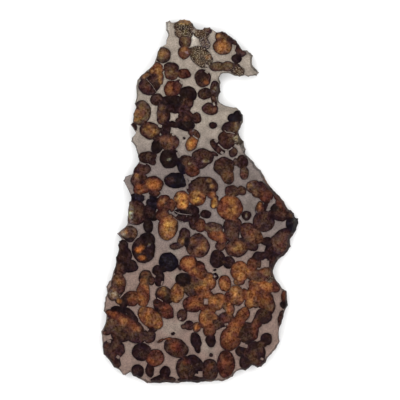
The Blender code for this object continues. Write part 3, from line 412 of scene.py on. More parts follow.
# Threads of metal between crystals: both ends and the width.
THREADS = (
    (-12.1, 45.5, -12.2, 44.2, 0.3), (-2.3, 21.9, -0.7, 20.8, 0.4), (8.3, 23.6, 9, 23, 0.22),
    (9, 23, 10.3, 23, 0.22), (10.3, 23, 11.7, 22.5, 0.22), (6.1, 19, 8, 17.3, 0.4), (8, 17.3, 9.5, 16.9, 0.4),
    (9.5, 16.9, 10.9, 17.9, 0.4), (-13.5, 15.6, -14.4, 14.3, 0.4), (-14.4, 14.3, -13.8, 13, 0.4),
    (-20, 12.8, -18, 12.3, 0.5), (-8.4, -3.3, -7.3, -3.9, 0.25), (-7.3, -3.9, -6.2, -4.2, 0.35),
    (-6.2, -4.2, -4.4, -4.4, 0.22), (-4.4, -4.4, -2.6, -4.6, 0.14), (-6.8, -3.4, -7.6, -4.6, 0.14),
    (-4.2, -4.3, -4.4, -5.2, 0.14), (-8.8, -5.2, -7.6, -6.3, 0.14), (-7.6, -6.3, -5.5, -6.9, 0.14),
    (-14.2, -32.2, -12.3, -33.4, 0.3), (-24.7, -30.1, -26.6, -32.2, 0.4), (13.6, -47.8, 15.9, -48.4, 1.2),
    (-13.7, 25.3, -12.7, 24.9, 0.9), (20.5, -20.8, 23.1, -20.9, 2.2), (11.4, 50.4, 11.9, 52, 0.6),
    (1.9, 43.6, 2.9, 42.8, 0.9), (-6.9, -39.5, -6.2, -39, 0.7), (-7.6, 16.3, -6.9, 14.5, 0.7),
    (-27.7, -51.6, -26.8, -52.2, 1), (5, 20.6, 5.9, 19.7, 0.8), (-30.8, -46.4, -29.6, -46.8, 0.9),
    (20.3, -52.3, 21.2, -52.8, 0.7), (4.6, 32.9, 4.9, 31.9, 0.6), (-17.8, 40.8, -16, 38.8, 0.1),
    (-16, 38.8, -14.4, 36.4, 0.1), (-5, 9, -4.4, 7.2, 0.9), (-4.4, 7.2, -4.1, 5.6, 0.8),
    (-4.1, 5.6, -4.1, 4.2, 0.6), (-9.1, 22.5, -8.5, 21.9, 0.7), (2, 45.4, 2.9, 44.9, 0.6),
    (7, 16.4, 7.9, 15.9, 0.8), (-18, -42.4, -17.1, -43, 0.8), (8.3, -41.1, 9.4, -40.9, 0.7),
    (2.04, -32.5, 2.04, -34.35, 1.3), (5.5, -37.6, 7.75, -36.4, 0.95), (0.2, -56.7, 0.2, -58.6, 1.4),
    (24.1, 0.4, 22.5, -3.2, 0.9), (-6.6, 40.3, -5.8, 39.2, 0.8), (15.9, -27, 16, -28.8, 0.6),
    (-12.4, -26.6, -12.8, -27.9, 0.5), (-18.4, 1.5, -16.8, 1.3, 1.1),
)

# Where light comes back out of a crystal, or a flaw darkens it; the glint marks and the thin grey streaks are painted
# highlights on its skin: x, y, half length, half width, tilt, tone, strength.
GLOWS = (
    (-5, 60, 2.4, 0.8, 0, "glint", 0.35), (-5, 60, 2.6, 1, 0, "gold", 0.7), (-5, 58, 1.7, 0.9, 0, "deep", 0.7),
    (-3.6, 54, 1, 0.8, 0, "rust", 0.6), (-4.4, 49.6, 0.7, 0.2, -28, "glint", 0.7),
    (3, 48, 1.1, 0.9, 0, "amber", 0.6), (7, 51.3, 1.5, 1.3, 0, "gold", 0.3),
    (7.3, 53.3, 1.2, 0.8, 0, "rust", 0.7), (-8.6, 43, 0.9, 0.9, 0, "brown", 0.6),
    (2.2, 39.6, 0.8, 0.7, 0, "amber", 0.7), (0.6, 35.8, 1, 1.3, 0, "olive", 0.6),
    (2.8, 35.8, 0.9, 1.4, 0, "deep", 0.7), (4.4, 30.8, 1.2, 1, 0, "amber", 0.25),
    (-17, 37.5, 1.2, 1, 0, "red", 0.3), (-14.3, 33.9, 1.2, 1.1, 0, "rust", 0.5),
    (-10, 37.2, 1.2, 1.1, 0, "orange", 0.6), (-2.3, 23.6, 0.4, 0.35, 0, "grey", 0.6),
    (-19.7, 29.5, 2, 1.6, 0, "amber", 0.5), (-15.9, 23.5, 1.2, 1, 0, "amber", 0.7),
    (-18, 25, 1, 0.9, 0, "rust", 0.6), (12.6, 20.9, 1.3, 1.1, 0, "pale", 0.35),
    (9.5, 9.3, 1.2, 1.1, 0, "rust", 0.3), (9.6, 6.5, 1, 0.9, 0, "deep", 0.6),
    (14.4, 8.7, 1.1, 0.9, 0, "orange", 0.35), (16.6, 8, 0.6, 0.6, 0, "deep", 0.7),
    (2, 13.3, 1.2, 0.4, 0, "pale", 0.4), (-3.3, 12.6, 0.5, 0.4, 0, "pale", 0.4),
    (-3.3, 10.5, 1, 0.9, 0, "rust", 0.6), (-11, 20.8, 1.3, 1, 0, "orange", 0.6),
    (-9.5, 18, 1.4, 1.1, 0, "plum", 0.6), (-17.6, 4.6, 1.4, 1.1, 0, "orange", 0.5),
    (3.2, 7, 0.9, 0.7, 0, "tan", 0.6), (4, 5, 0.8, 0.8, 0, "tan", 0.6), (-1, 0.6, 1.1, 1, 0, "gold", 0.9),
    (10.1, -2.3, 1.4, 1.2, 0, "amber", 0.6), (10.5, -4, 1.2, 1, 0, "orange", 0.6),
    (-12.5, 0.2, 1.2, 0.9, 0, "tan", 0.25), (-11.4, -0.9, 0.7, 0.6, 0, "deep", 0.8),
    (-12.4, -4.6, 1.3, 1.1, 0, "orange", 0.5), (-20.6, -16.3, 1.1, 0.9, 0, "flame", 0.6),
    (-19.2, -18.9, 1.3, 0.8, 0, "flame", 0.7), (-19.3, -15.4, 0.9, 0.9, 0, "flame", 0.55),
    (-10.9, -8, 1.6, 1.1, 0, "gold", 0.35), (-7.5, -9.2, 2.2, 1, 90, "deep", 0.8),
    (-6.4, -13.2, 1.2, 1, 0, "gold", 0.3), (1.5, -16, 1, 0.8, 0, "amber", 0.6),
    (-3.6, -20.9, 1.3, 1.1, 0, "orange", 0.5), (16.7, 5.2, 1.1, 0.8, 0, "tan", 0.5),
    (18.6, -3.7, 0.35, 0.35, 0, "glint", 0.9), (21.5, -5.2, 1, 0.8, 0, "brown", 0.3),
    (32, -7.5, 2, 0.9, 90, "grey", 0.1), (15.5, -4.6, 0.7, 0.3, 90, "grey", 0.6),
    (16.9, -10.6, 1.4, 1.2, 0, "amber", 0.6), (20, -13, 1.3, 1, 0, "rust", 0.5),
    (26.6, -14.3, 1.3, 1.2, 0, "red", 0.2), (22, 6.8, 1.6, 0.5, -50, "pale", 0.5),
    (5.6, -11.3, 1.3, 1.1, 0, "amber", 0.5), (12.4, -15.6, 2.2, 1.9, 8, "amber", 0.5),
    (5.1, -25.1, 0.3, 0.25, 0, "glint", 0.8), (-12.6, -30.8, 1.3, 1.1, 0, "amber", 0.6),
    (-10.9, -32, 0.9, 0.9, 0, "deep", 0.6), (-11.3, -35.5, 1.2, 1, 0, "red", 0.7),
    (-14, -36.5, 1.1, 0.9, 0, "deep", 0.5), (13.5, -23.4, 1.2, 1, 0, "amber", 0.2),
    (20.5, -23.2, 1.2, 1, 0, "amber", 0.6), (8.8, -53.5, 1.4, 1.2, 0, "red", 0.6),
    (3.5, -55, 1.2, 1, 0, "orange", 0.25), (-4.6, -53.6, 1.2, 1, 0, "red", 0.6),
    (-16.3, -53.3, 1.1, 0.9, 0, "orange", 0.6), (-28.8, -30.9, 1.4, 1.2, 0, "pale", 0.3),
    (-12.1, 48.8, 1.6, 1.4, 0, "tan", 0.35), (5.3, 37.2, 1, 0.9, 90, "grey", 0.25),
    (-2.5, 19.3, 1.6, 1.1, 62, "flame", 0.6), (-5.9, 0.8, 1.8, 1.5, 0, "gold", 0.75),
    (4.9, -0.6, 1.6, 1, 80, "gold", 1), (-25.7, -10.5, 1.3, 0.9, 15, "pale", 0.8),
    (-23.8, -10.5, 1.6, 1.2, 0, "olive", 0.6), (-11.9, -28.9, 0.9, 0.7, 0, "tan", 0.7),
    (6.1, 55.1, 0.8, 0.7, 0, "tan", 0.7), (-21.2, 8.8, 0.8, 0.7, 0, "tan", 0.7),
    (-3.6, 17.1, 0.9, 0.7, 0, "gold", 0.9), (-2.6, -15.8, 1.3, 1.5, 0, "deep", 0.6),
    (0.8, -14.6, 1.3, 1.8, 0, "honey", 0.4), (0.8, 47.1, 1, 0.8, 0, "deep", 0.6),
    (-23.8, -31.3, 0.9, 0.8, 0, "deep", 0.6), (0.8, -29.9, 1.5, 1.2, 0, "rust", 0.4),
    (12.2, -31.4, 1.6, 1.2, 100, "gold", 0.25), (8.6, -39.3, 1.6, 1.1, 22, "red", 0.4),
    (-1, -42, 1, 0.9, 90, "flame", 0.7), (-23, -3.6, 3, 0.8, 88, "pale", 0.5),
    (-22.9, -7.4, 0.9, 0.6, 60, "pale", 0.5), (-12.2, -10.9, 0.8, 0.7, 0, "gold", 0.7),
    (11.1, -32.9, 0.9, 0.8, 0, "gold", 0.3), (3.8, 47.4, 0.7, 0.5, 0, "pale", 0.7),
    (-13.6, -40.9, 1.1, 0.8, 0, "red", 0.6), (-18.4, -24.2, 1.1, 0.9, 0, "orange", 0.5),
    (-5.4, 42.5, 1.2, 0.9, 0, "deep", 0.3), (4, 2.4, 0.9, 0.8, 0, "gold", 0.4),
    (-5.6, -1.4, 1.3, 1, 0, "gold", 0.6), (0.3, -24.8, 1, 0.8, 0, "rust", 0.5),
    (-26.9, -33.3, 0.9, 0.8, 0, "flame", 0.35), (16.7, -33.9, 1, 1, 0, "amber", 0.6),
    (-2.3, -34.1, 2.2, 1.8, 0, "orange", 0.8), (-4.6, -1.2, 0.6, 0.5, 0, "gold", 0.5),
    (9.9, -36, 1.7, 0.8, 90, "flame", 0.5), (8.6, -27.8, 1.2, 1, 0, "amber", 0.5),
    (16.4, -33.6, 0.9, 0.8, 0, "gold", 0.2), (-13.2, 41, 0.6, 1.4, 0, "tan", 0.4),
    (-24.6, -10.2, 1, 0.7, 0, "tan", 0.4), (-1.8, 56.8, 0.9, 0.6, 0, "pale", 0.5),
    (-18.2, 41.8, 1.2, 0.8, 30, "tan", 0.35), (-16.6, 23.5, 2, 1.6, -20, "gold", 0.25),
    (-15.4, 5.6, 2.3, 1.7, -5, "flame", 0.3), (-23.3, -12.6, 1.5, 0.6, 5, "deep", 0.9),
    (-13.6, -36.6, 2, 0.7, -50, "deep", 0.85), (-14.4, -33.7, 0.9, 0.7, 0, "deep", 0.8),
    (-4.3, -13.8, 0.8, 1.7, 0, "deep", 0.8), (-12.6, -6.9, 0.8, 0.6, 0, "red", 0.8),
    (-6.5, -32.4, 0.8, 0.7, 0, "tan", 0.7), (8, -20.3, 0.8, 0.4, 20, "brown", 0.6),
    (13.1, -26.3, 0.9, 0.8, 0, "orange", 0.4), (-18.8, -26.6, 1.1, 1.1, 0, "orange", 0.7),
    (-22.2, -32.9, 1.6, 1.3, 0, "orange", 0.8), (21.3, -32.6, 2, 1.8, 0, "amber", 0.5),
    (10.3, -45.6, 2.7, 2.1, 70, "orange", 0.75), (-8, -48.4, 2.2, 1.5, -25, "red", 0.6),
    (5.6, -33.7, 1, 0.8, 0, "gold", 0.6), (20, -1.7, 0.9, 1.3, 0, "amber", 0.7),
    (-26.7, -26.6, 1, 0.9, 0, "amber", 0.6), (-16.8, -14.6, 0.7, 0.3, 60, "grey", 0.6),
    (-25, -39.8, 2.4, 1.2, -27, "orange", 0.75), (-17.6, -38, 1.4, 1, -40, "gold", 0.3),
    (-28.3, -37.8, 2.2, 0.9, -22, "orange", 0.7), (-21.8, -42, 2.2, 1, -30, "orange", 0.8),
    (-20.8, 27.3, 1.4, 0.6, 20, "tan", 0.7), (-21, 30, 1, 0.6, 0, "tan", 0.5),
    (-4.3, 27.6, 1, 0.8, 0, "rust", 0.7), (-10.2, 13.9, 0.7, 0.3, 30, "grey", 0.7),
    (-10, 6.8, 1.6, 1.4, 0, "plum", 0.6), (-11.6, -36.4, 2, 1.4, -45, "orange", 0.35),
)

# Bright and dark places on the polished metal, in the same terms; the white marks are painted highlights, and glint
# only lightens broad patches.
METAL_MARKS = (
    (9, 30.8, 4, 1.2, -5, "grey", 0.35), (18, 43.8, 1.6, 1.2, -45, "grey", 0.4), (16.5, 48.8, 1.2, 1, -30, "grey", 0.3),
    (17, -2, 2.2, 2.6, 0, "grey", 0.5), (18.5, 8.5, 2, 2, 0, "grey", 0.3), (12.5, 8, 1, 3, 0, "grey", 0.25),
    (-2, 54.8, 0.9, 0.8, 0, "white", 0.9), (-1.9, 52.6, 1.2, 1.6, 0, "white", 0.35), (-10.9, 58, 0.7, 2.4, 0, "white", 0.6), (4.3, 25.3, 2.4, 0.8, -10, "grey", 0.5),
    (22.3, 6.6, 1.9, 0.5, -52, "flame", 0.7),
    (-10, -42, 4, 2.5, -20, "glint", 0.3), (1.5, -46.5, 2.5, 4, 0, "glint", 0.25),
    (-8.5, -17, 2, 2.5, 0, "glint", 0.35), (6, -24, 1.7, 1.6, 0, "glint", 0.4),
    (-5.6, -41, 2, 1.5, 0, "glint", 0.35), (3.5, -49, 1.8, 2.5, 0, "glint", 0.25),
    (1, 28, 2.5, 2, 0, "glint", 0.25), (-8, -25, 2, 1.5, 0, "glint", 0.35),
    (-23, -49, 2.5, 2, 0, "glint", 0.2),
)

# sRGB colours: the olivine by tone, then what glows or darkens in it; white and glint are painted highlights, and glint
# also lightens broad patches of the metal.
TONES = {
    "black": "#211313", "ink": "#180E0E", "navy": "#140E14", "umber": "#301E19", "plum": "#33201D", "brown": "#432C22", "rust": "#42241B",
    "olive": "#463328", "ash": "#34261C", "honey": "#64422B", "amber": "#623D26", "orange": "#5F3723",
    "pearl": "#4A4039", "gold": "#8E6030", "flame": "#8C5228", "tan": "#7A5637", "red": "#4E241B", "deep": "#140E11",
    "pale": "#857765", "grey": "#6E645C", "glint": "#A39C8E", "white": "#E6DFD4",
}


def linear(colour):
    """An sRGB hex colour as linear red, green, blue."""
    parts = [int(colour[i:i + 2], 16) / 255 for i in (1, 3, 5)]
    return [c / 12.92 if c <= 0.04045 else ((c + 0.055) / 1.055) ** 2.4 for c in parts]


class PallasiteSettings(bpy.types.PropertyGroup):
    """Sizes and colours of the slice."""
    thickness: FloatProperty(
        name="Thickness", description="From the sawn back to the polished face",
        default=CAD_BOX[1][2], subtype="DISTANCE", unit="LENGTH")
    waist_height: FloatProperty(
        name="Waist height", description="Where the broken edge stands out furthest",
        default=0.0012, subtype="DISTANCE", unit="LENGTH")
    back_inset: FloatProperty(
        name="Back inset", description="How far the back lies inside the widest outline",
        default=0.00025, subtype="DISTANCE", unit="LENGTH")
    seam_width: FloatProperty(
        name="Seam width", description="Dark seam between a crystal and the metal",
        default=0.00014, subtype="DISTANCE", unit="LENGTH")
    seam_depth: FloatProperty(
        name="Seam depth", description="How deep the seam is worn below the polished face",
        default=0.0002, subtype="DISTANCE", unit="LENGTH")
    pocket_floor: FloatProperty(
        name="Pocket floor", description="Metal left behind the dark crystals",
        default=0.0008, subtype="DISTANCE", unit="LENGTH")
    dark_bottom: FloatProperty(
        name="Dark crystal bottom", description="Height at which the dark crystals end inside the slice",
        default=0.0011, subtype="DISTANCE", unit="LENGTH")
    cell: FloatProperty(
        name="Cell", description="Spacing of the points across the polished face",
        default=0.0004, subtype="DISTANCE", unit="LENGTH")
    # Metal colours along the slice: lighter towards the head as painted light, where the light falls, and pinker at the
    # foot with tarnish.
    metal_head: FloatVectorProperty(
        name="Metal, head", description="Nickel-iron at the head of the slice, the brightest",
        default=linear("#A99C8F"), subtype="COLOR", size=3, min=0, max=1)
    metal_waist: FloatVectorProperty(
        name="Metal, waist", description="Nickel-iron in the middle of the slice, a cooler grey",
        default=linear("#8A7D78"), subtype="COLOR", size=3, min=0, max=1)
    metal_foot: FloatVectorProperty(
        name="Metal, foot", description="Nickel-iron at the foot of the slice, with a pink tarnish",
        default=linear("#937C72"), subtype="COLOR", size=3, min=0, max=1)
    seam_colour: FloatVectorProperty(
        name="Seam", description="Dark mineral that lines the crystals",
        default=linear("#2B2120"), subtype="COLOR", size=3, min=0, max=1)
    floor_colour: FloatVectorProperty(
        name="Floor", description="Paper that the slice lies on",
        default=linear("#FCFCFC"), subtype="COLOR", size=3, min=0, max=1)
    lamp_power: FloatProperty(
        name="Lamp power", description="Power of each soft lamp",
        default=1.0, subtype="POWER", unit="POWER")


def swayed(x, y):
    """A point moved a little, as the edges of real grains wander from a true oval."""
    sway = noise.noise_vector(Vector((x * 0.55, y * 0.55, 2.0))) * 0.3 + noise.noise_vector(Vector((x * 1.6, y * 1.6, 7.0))) * 0.1
    return x + sway.x, y + sway.y


def oval(row, grow, count):
    """Points round one crystal, anticlockwise."""
    x, y, half_length, half_width, tilt = row[:5]
    turn = math.radians(tilt)
    places = []
    for step in range(count):
        angle = 2 * math.pi * step / count
        u = (half_length + grow) * math.cos(angle)
        v = (half_width + grow) * math.sin(angle)
        places.append(swayed(x + math.cos(turn) * u - math.sin(turn) * v, y + math.sin(turn) * u + math.cos(turn) * v))
    return places


def rough_rings():
    """The widest outline, the polished face's and the back's, anticlockwise, with crumbled stretches between points."""
    settings = bpy.context.scene.pallasite
    chance = random.Random(11)
    rings = ([], [], [])
    count = len(OUTLINE)
    for i, (x, y, inset) in enumerate(OUTLINE):
        before, (x_next, y_next, inset_next) = OUTLINE[i - 1], OUTLINE[(i + 1) % count]
        after = OUTLINE[(i + 2) % count]
        inward = Vector((y_next - before[1], before[0] - x_next)).normalized()
        inward_next = Vector((after[1] - y, x - after[0])).normalized()
        for step in range(3):
            share = step / 3
            place = Vector((x, y)).lerp(Vector((x_next, y_next)), share)
            way = inward.lerp(inward_next, share).normalized()
            crumble = chance.uniform(0.0, 0.16) if step else 0.0
            depth = inset + (inset_next - inset) * share
            for ring, amount in zip(rings, (0.0, depth * chance.uniform(0.8, 1.15), settings.back_inset / MM)):
                ring.append(place + way * (crumble + amount))
    return [ring[::-1] for ring in rings]


def inside(points, ring):
    """Which points lie inside a ring."""
    found = np.zeros(len(points), bool)
    ring = np.array([tuple(p) for p in ring])
    for (x0, y0), (x1, y1) in zip(ring, np.roll(ring, -1, axis=0)):
        if y0 != y1:
            spans = (points[:, 1] < y0) != (points[:, 1] < y1)
            found ^= spans & (points[:, 0] < x0 + (points[:, 1] - y0) / (y1 - y0) * (x1 - x0))
    return found


def ring_distance(points, ring):
    """Distance of each point from a ring."""
    ring = np.array([tuple(p) for p in ring])
    nearest = np.full(len(points), 1e9)
    for start, end in zip(ring, np.roll(ring, -1, axis=0)):
        along = end - start
        share = np.clip(((points - start) @ along) / (along @ along), 0, 1)
        nearest = np.minimum(nearest, np.hypot(*(points - start - share[:, None] * along).T))
    return nearest


def crystal_depth(points, rows):
    """How deep each point lies in each crystal, in millimetres: points by crystals, below 0 outside."""
    depths = []
    for x, y, half_length, half_width, tilt, _ in rows:
        turn = math.radians(tilt)
        dx, dy = points[:, 0] - x, points[:, 1] - y
        u = (dx * math.cos(turn) + dy * math.sin(turn)) / half_length
        v = (dy * math.cos(turn) - dx * math.sin(turn)) / half_width
        depths.append((1 - np.hypot(u, v)) * half_width)
    return np.array(depths).T


@functools.lru_cache(maxsize=1)
def face_plan():
    """The polished face cut along every outline: points in millimetres, upper and lower heights, and triangles by piece."""
    settings = bpy.context.scene.pallasite
    widest, polished, back = rough_rings()
    names, rows = [], []
    for name, (_, group) in CRYSTALS.items():
        names += [name] * len(group)
        rows += group
    names += ["slight_crystals"] * len(SLIGHT_CRYSTALS)
    rows += SLIGHT_CRYSTALS
    points, loops, edges, meaning = [], [], [], []

    def add_loop(places, means):
        start = len(points)
        points.extend(Vector(p) for p in places)
        loops.append(list(range(start, len(points))))
        meaning.append(means)

    add_loop(widest, ("slice", None))
    for ring in (polished, back):
        start = len(points)
        points.extend(ring)
        edges.extend((start + i, start + (i + 1) % len(ring)) for i in range(len(ring)))
    for name, row in zip(names, rows):
        count = 16 + int(4 * row[2])
        add_loop(oval(row, settings.seam_width / MM, count), ("pocket", name))
        add_loop(oval(row, 0, count), ("crystal", name))
    for x0, y0, x1, y1, width in THREADS:
        side = Vector((y0 - y1, x1 - x0)).normalized() * width / 2
        ends = Vector((x0, y0)), Vector((x1, y1))
        add_loop((ends[0] - side, ends[1] - side, ends[1] + side, ends[0] + side), ("thread", None))
    step = settings.cell / MM
    across = np.arange(CAD_BOX[0][0] / MM, CAD_BOX[1][0] / MM, step)
    rise = np.arange(CAD_BOX[0][1] / MM, CAD_BOX[1][1] / MM, step * 0.866)
    grid = np.array([(x + (j % 2) * step / 2, y) for j, y in enumerate(rise) for x in across])
    grid = grid[inside(grid, widest)]
    near_seam = np.abs(crystal_depth(grid, rows)).min(axis=1) < 0.12
    grid = grid[~near_seam]
    points.extend(Vector(p) for p in grid)

    places, _, triangles, _, _, covers = delaunay_2d_cdt(points, edges, loops, 0, 1e-6, True)
    places = np.array([tuple(p) for p in places])
    order = {name: i for i, name in enumerate(list(CRYSTALS) + ["slight_crystals"])}
    pieces = {"seam": [], "metal": []}
    for corners, cover in zip(triangles, covers):
        kinds = [meaning[i] for i in cover]
        if not any(kind == "slice" for kind, _ in kinds):
            continue
        crystals = [name for kind, name in kinds if kind == "crystal"]
        if ("thread", None) in kinds or ("pocket" not in [kind for kind, _ in kinds]):
            owner = "metal"
        else:
            owner = min(crystals, key=order.get) if crystals else "seam"
        pieces.setdefault(owner, []).append(corners)

    thickness, waist = settings.thickness, settings.waist_height
    outer = ring_distance(places, widest)
    upper = np.full(len(places), thickness)
    sloping = ~inside(places, polished)
    shelf = ring_distance(places, polished)
    upper[sloping] = waist + (thickness - waist) * outer[sloping] / np.maximum(outer + shelf, 1e-9)[sloping]
    lower = np.zeros(len(places))
    sloping = ~inside(places, back)
    shelf = ring_distance(places, back)
    lower[sloping] = waist * shelf[sloping] / np.maximum(outer + shelf, 1e-9)[sloping]
    return places, upper, lower, pieces


@functools.lru_cache(maxsize=1)
def face_looks():
    """At each point of the plan: olivine colour, light that comes back, dark rim, and where the pale flecks go, painted
    glints of the pits.
    """
    settings = bpy.context.scene.pallasite
    places, upper, _, pieces = face_plan()
    rows = [row for _, group in CRYSTALS.values() for row in group] + list(SLIGHT_CRYSTALS)
    sways = np.array([swayed(x, y) for x, y in places])
    depths = crystal_depth(2 * places - sways, rows)
    tones = np.array([linear(TONES[row[5]]) for row in rows])
    order = np.argpartition(-depths, 3, axis=1)[:, :4]
    near = np.take_along_axis(depths, order, axis=1)
    weights = np.exp((near - near.max(axis=1)[:, None]) / 0.2)
    weights /= weights.sum(axis=1)[:, None]
    colours = np.einsum("ij,ijk->ik", weights, tones[order])
    ranked = np.sort(near, axis=1)
    first = np.take_along_axis(order, near.argsort(axis=1)[:, -1:], axis=1)[:, 0]
    second = np.take_along_axis(order, near.argsort(axis=1)[:, -2:-1], axis=1)[:, 0]
    differ = np.abs(tones[first] - tones[second]).max(axis=1) > 0.012
    meeting = np.exp(-(((ranked[:, -1] - ranked[:, -2]) / 0.15) ** 2)) * (ranked[:, -2] > 0.15) * differ

    edges = {}
    for name, triangles in pieces.items():
        if name in ("metal", "seam"):
            continue
        for a, b, c in triangles:
            for edge in ((a, b), (b, c), (c, a)):
                edge = (min(edge), max(edge))
                edges[edge] = edges.get(edge, 0) + 1
    widest = rough_rings()[0]
    rims = sorted({i for edge, uses in edges.items() if uses == 1 for i in edge})
    rims = [i for i, far in zip(rims, ring_distance(places[rims], widest)) if far > 0.05]
    tree = kdtree.KDTree(len(rims))
    for i in rims:
        tree.insert((*places[i], 0), i)
    tree.balance()
    depth = np.array([tree.find((x, y, 0))[2] for x, y in places])
    rim = np.exp(-depth / 0.25)
    light = 0.58 + 0.42 * np.clip(depth / 0.8, 0, 1) + 0.35 * np.clip((depth - 0.9) / 1.3, 0, 1)
    # Darker where crystals of other tones meet, and cut to 0.6 on the broken edge as painted shade.
    light *= (1 - 0.4 * meeting) * np.where(upper < settings.thickness - 0.00002, 0.6, 1.0)
    cloudy = np.array([row[5] in ("ash", "pearl") for row in rows], float)
    return lit(places, colours, GLOWS), light, rim, np.einsum("ij,ij->i", weights, cloudy[order])


def raised_mesh(name, triangles, bottom, broken, steps):
    """A closed mesh over a patch of the plan, extruded up from its bottom by steps of kept triangles, heights and material."""
    places, _, lower, _ = face_plan()
    bm = bmesh.new()
    layer = bm.verts.layers.int.new("plan_point")
    made = {}
    for corners in triangles:
        for c in corners:
            if c not in made:
                made[c] = bm.verts.new((places[c][0] * MM, places[c][1] * MM, max(lower[c], bottom)))
                made[c][layer] = c
    current = {tuple(corners): bm.faces.new([made[c] for c in corners]) for corners in triangles}
    turned = False
    for kept, heights, material in steps:
        faces = [current[tuple(corners)] for corners in kept]
        raised = bmesh.ops.extrude_face_region(bm, geom=faces)
        lifted = {}
        for item in raised["geom"]:
            if isinstance(item, bmesh.types.BMVert):
                item.co.z = max(heights[item[layer]], lower[item[layer]])
            elif isinstance(item, bmesh.types.BMFace):
                item.material_index = material
                lifted[frozenset(v[layer] for v in item.verts)] = item
        if turned:
            bmesh.ops.delete(bm, geom=faces, context="FACES")
        current = {tuple(corners): lifted[frozenset(corners)] for corners in kept}
        turned = True
    bmesh.ops.remove_doubles(bm, verts=bm.verts, dist=1e-7)
    bmesh.ops.recalc_face_normals(bm, faces=bm.faces)
    bm.normal_update()
    for face in bm.faces:
        if 0.02 < abs(face.normal.z) < 0.98:
            face.material_index = broken
    mesh = bpy.data.meshes.new(name)
    bm.to_mesh(mesh)
    bm.free()
    return mesh


def lit(places, colours, marks):
    """The colours with soft patches of other tones laid over them."""
    for x, y, half_length, half_width, tilt, tone, strength in marks:
        row = (x, y, half_length * 1.5, half_width * 1.5, tilt, tone)
        share = np.clip(crystal_depth(places, [row])[:, 0] / (half_width * 1.5), 0, 1)
        share = strength * share * share * (3 - 2 * share)
        share = np.minimum(share * 1.6, strength)[:, None]
        colours = colours * (1 - share) + np.array(linear(TONES[tone])) * share
    return colours


def keep(mesh, name, values):
    """Keeps a colour or a number on each point of a mesh."""
    values = np.asarray(values, dtype=np.float32)
    if values.ndim == 2:
        attribute = mesh.attributes.new(name, "FLOAT_COLOR", "POINT")
        attribute.data.foreach_set("color", np.c_[values, np.ones(len(values), np.float32)].ravel())
    else:
        attribute = mesh.attributes.new(name, "FLOAT", "POINT")
        attribute.data.foreach_set("value", values)


def plan_points(mesh):
    """For each point of a mesh, the point of the plan that it stands over."""
    points = np.zeros(len(mesh.vertices), np.int32)
    mesh.attributes["plan_point"].data.foreach_get("value", points)
    return points


def keep_looks(mesh):
    """Gives a mesh of crystals the colour, light, rim and flecks of the plan, the flecks being painted glints."""
    points = plan_points(mesh)
    for name, values in zip(("body", "light", "rim", "flecks"), face_looks()):
        keep(mesh, name, values[points])
    mesh.attributes.remove(mesh.attributes["plan_point"])


def add_node(tree, kind, values=None, links=None, **settings):
    """Adds a shader node with its settings, socket values and incoming links."""
    node = tree.nodes.new(kind)
    for key, value in settings.items():
        setattr(node, key, value)
    for socket, value in (values or {}).items():
        node.inputs[socket].default_value = value
    for socket, source in (links or {}).items():
        tree.links.new(source, node.inputs[socket])
    return node


def new_material(name):
    """An empty node material with its output node."""
    material = bpy.data.materials.new(name)
    material.use_nodes = True
    tree = material.node_tree
    tree.nodes.clear()
    return material, tree, add_node(tree, "ShaderNodeOutputMaterial")


def by_colour(tree, amount, powers):
    """An amount taken to a power of its own for red, green and blue."""
    parts = {
        axis: add_node(tree, "ShaderNodeMath", {1: power}, {0: amount}, operation="POWER").outputs[0]
        for axis, power in zip("XYZ", powers)
    }
    return add_node(tree, "ShaderNodeCombineXYZ", None, parts).outputs["Vector"]


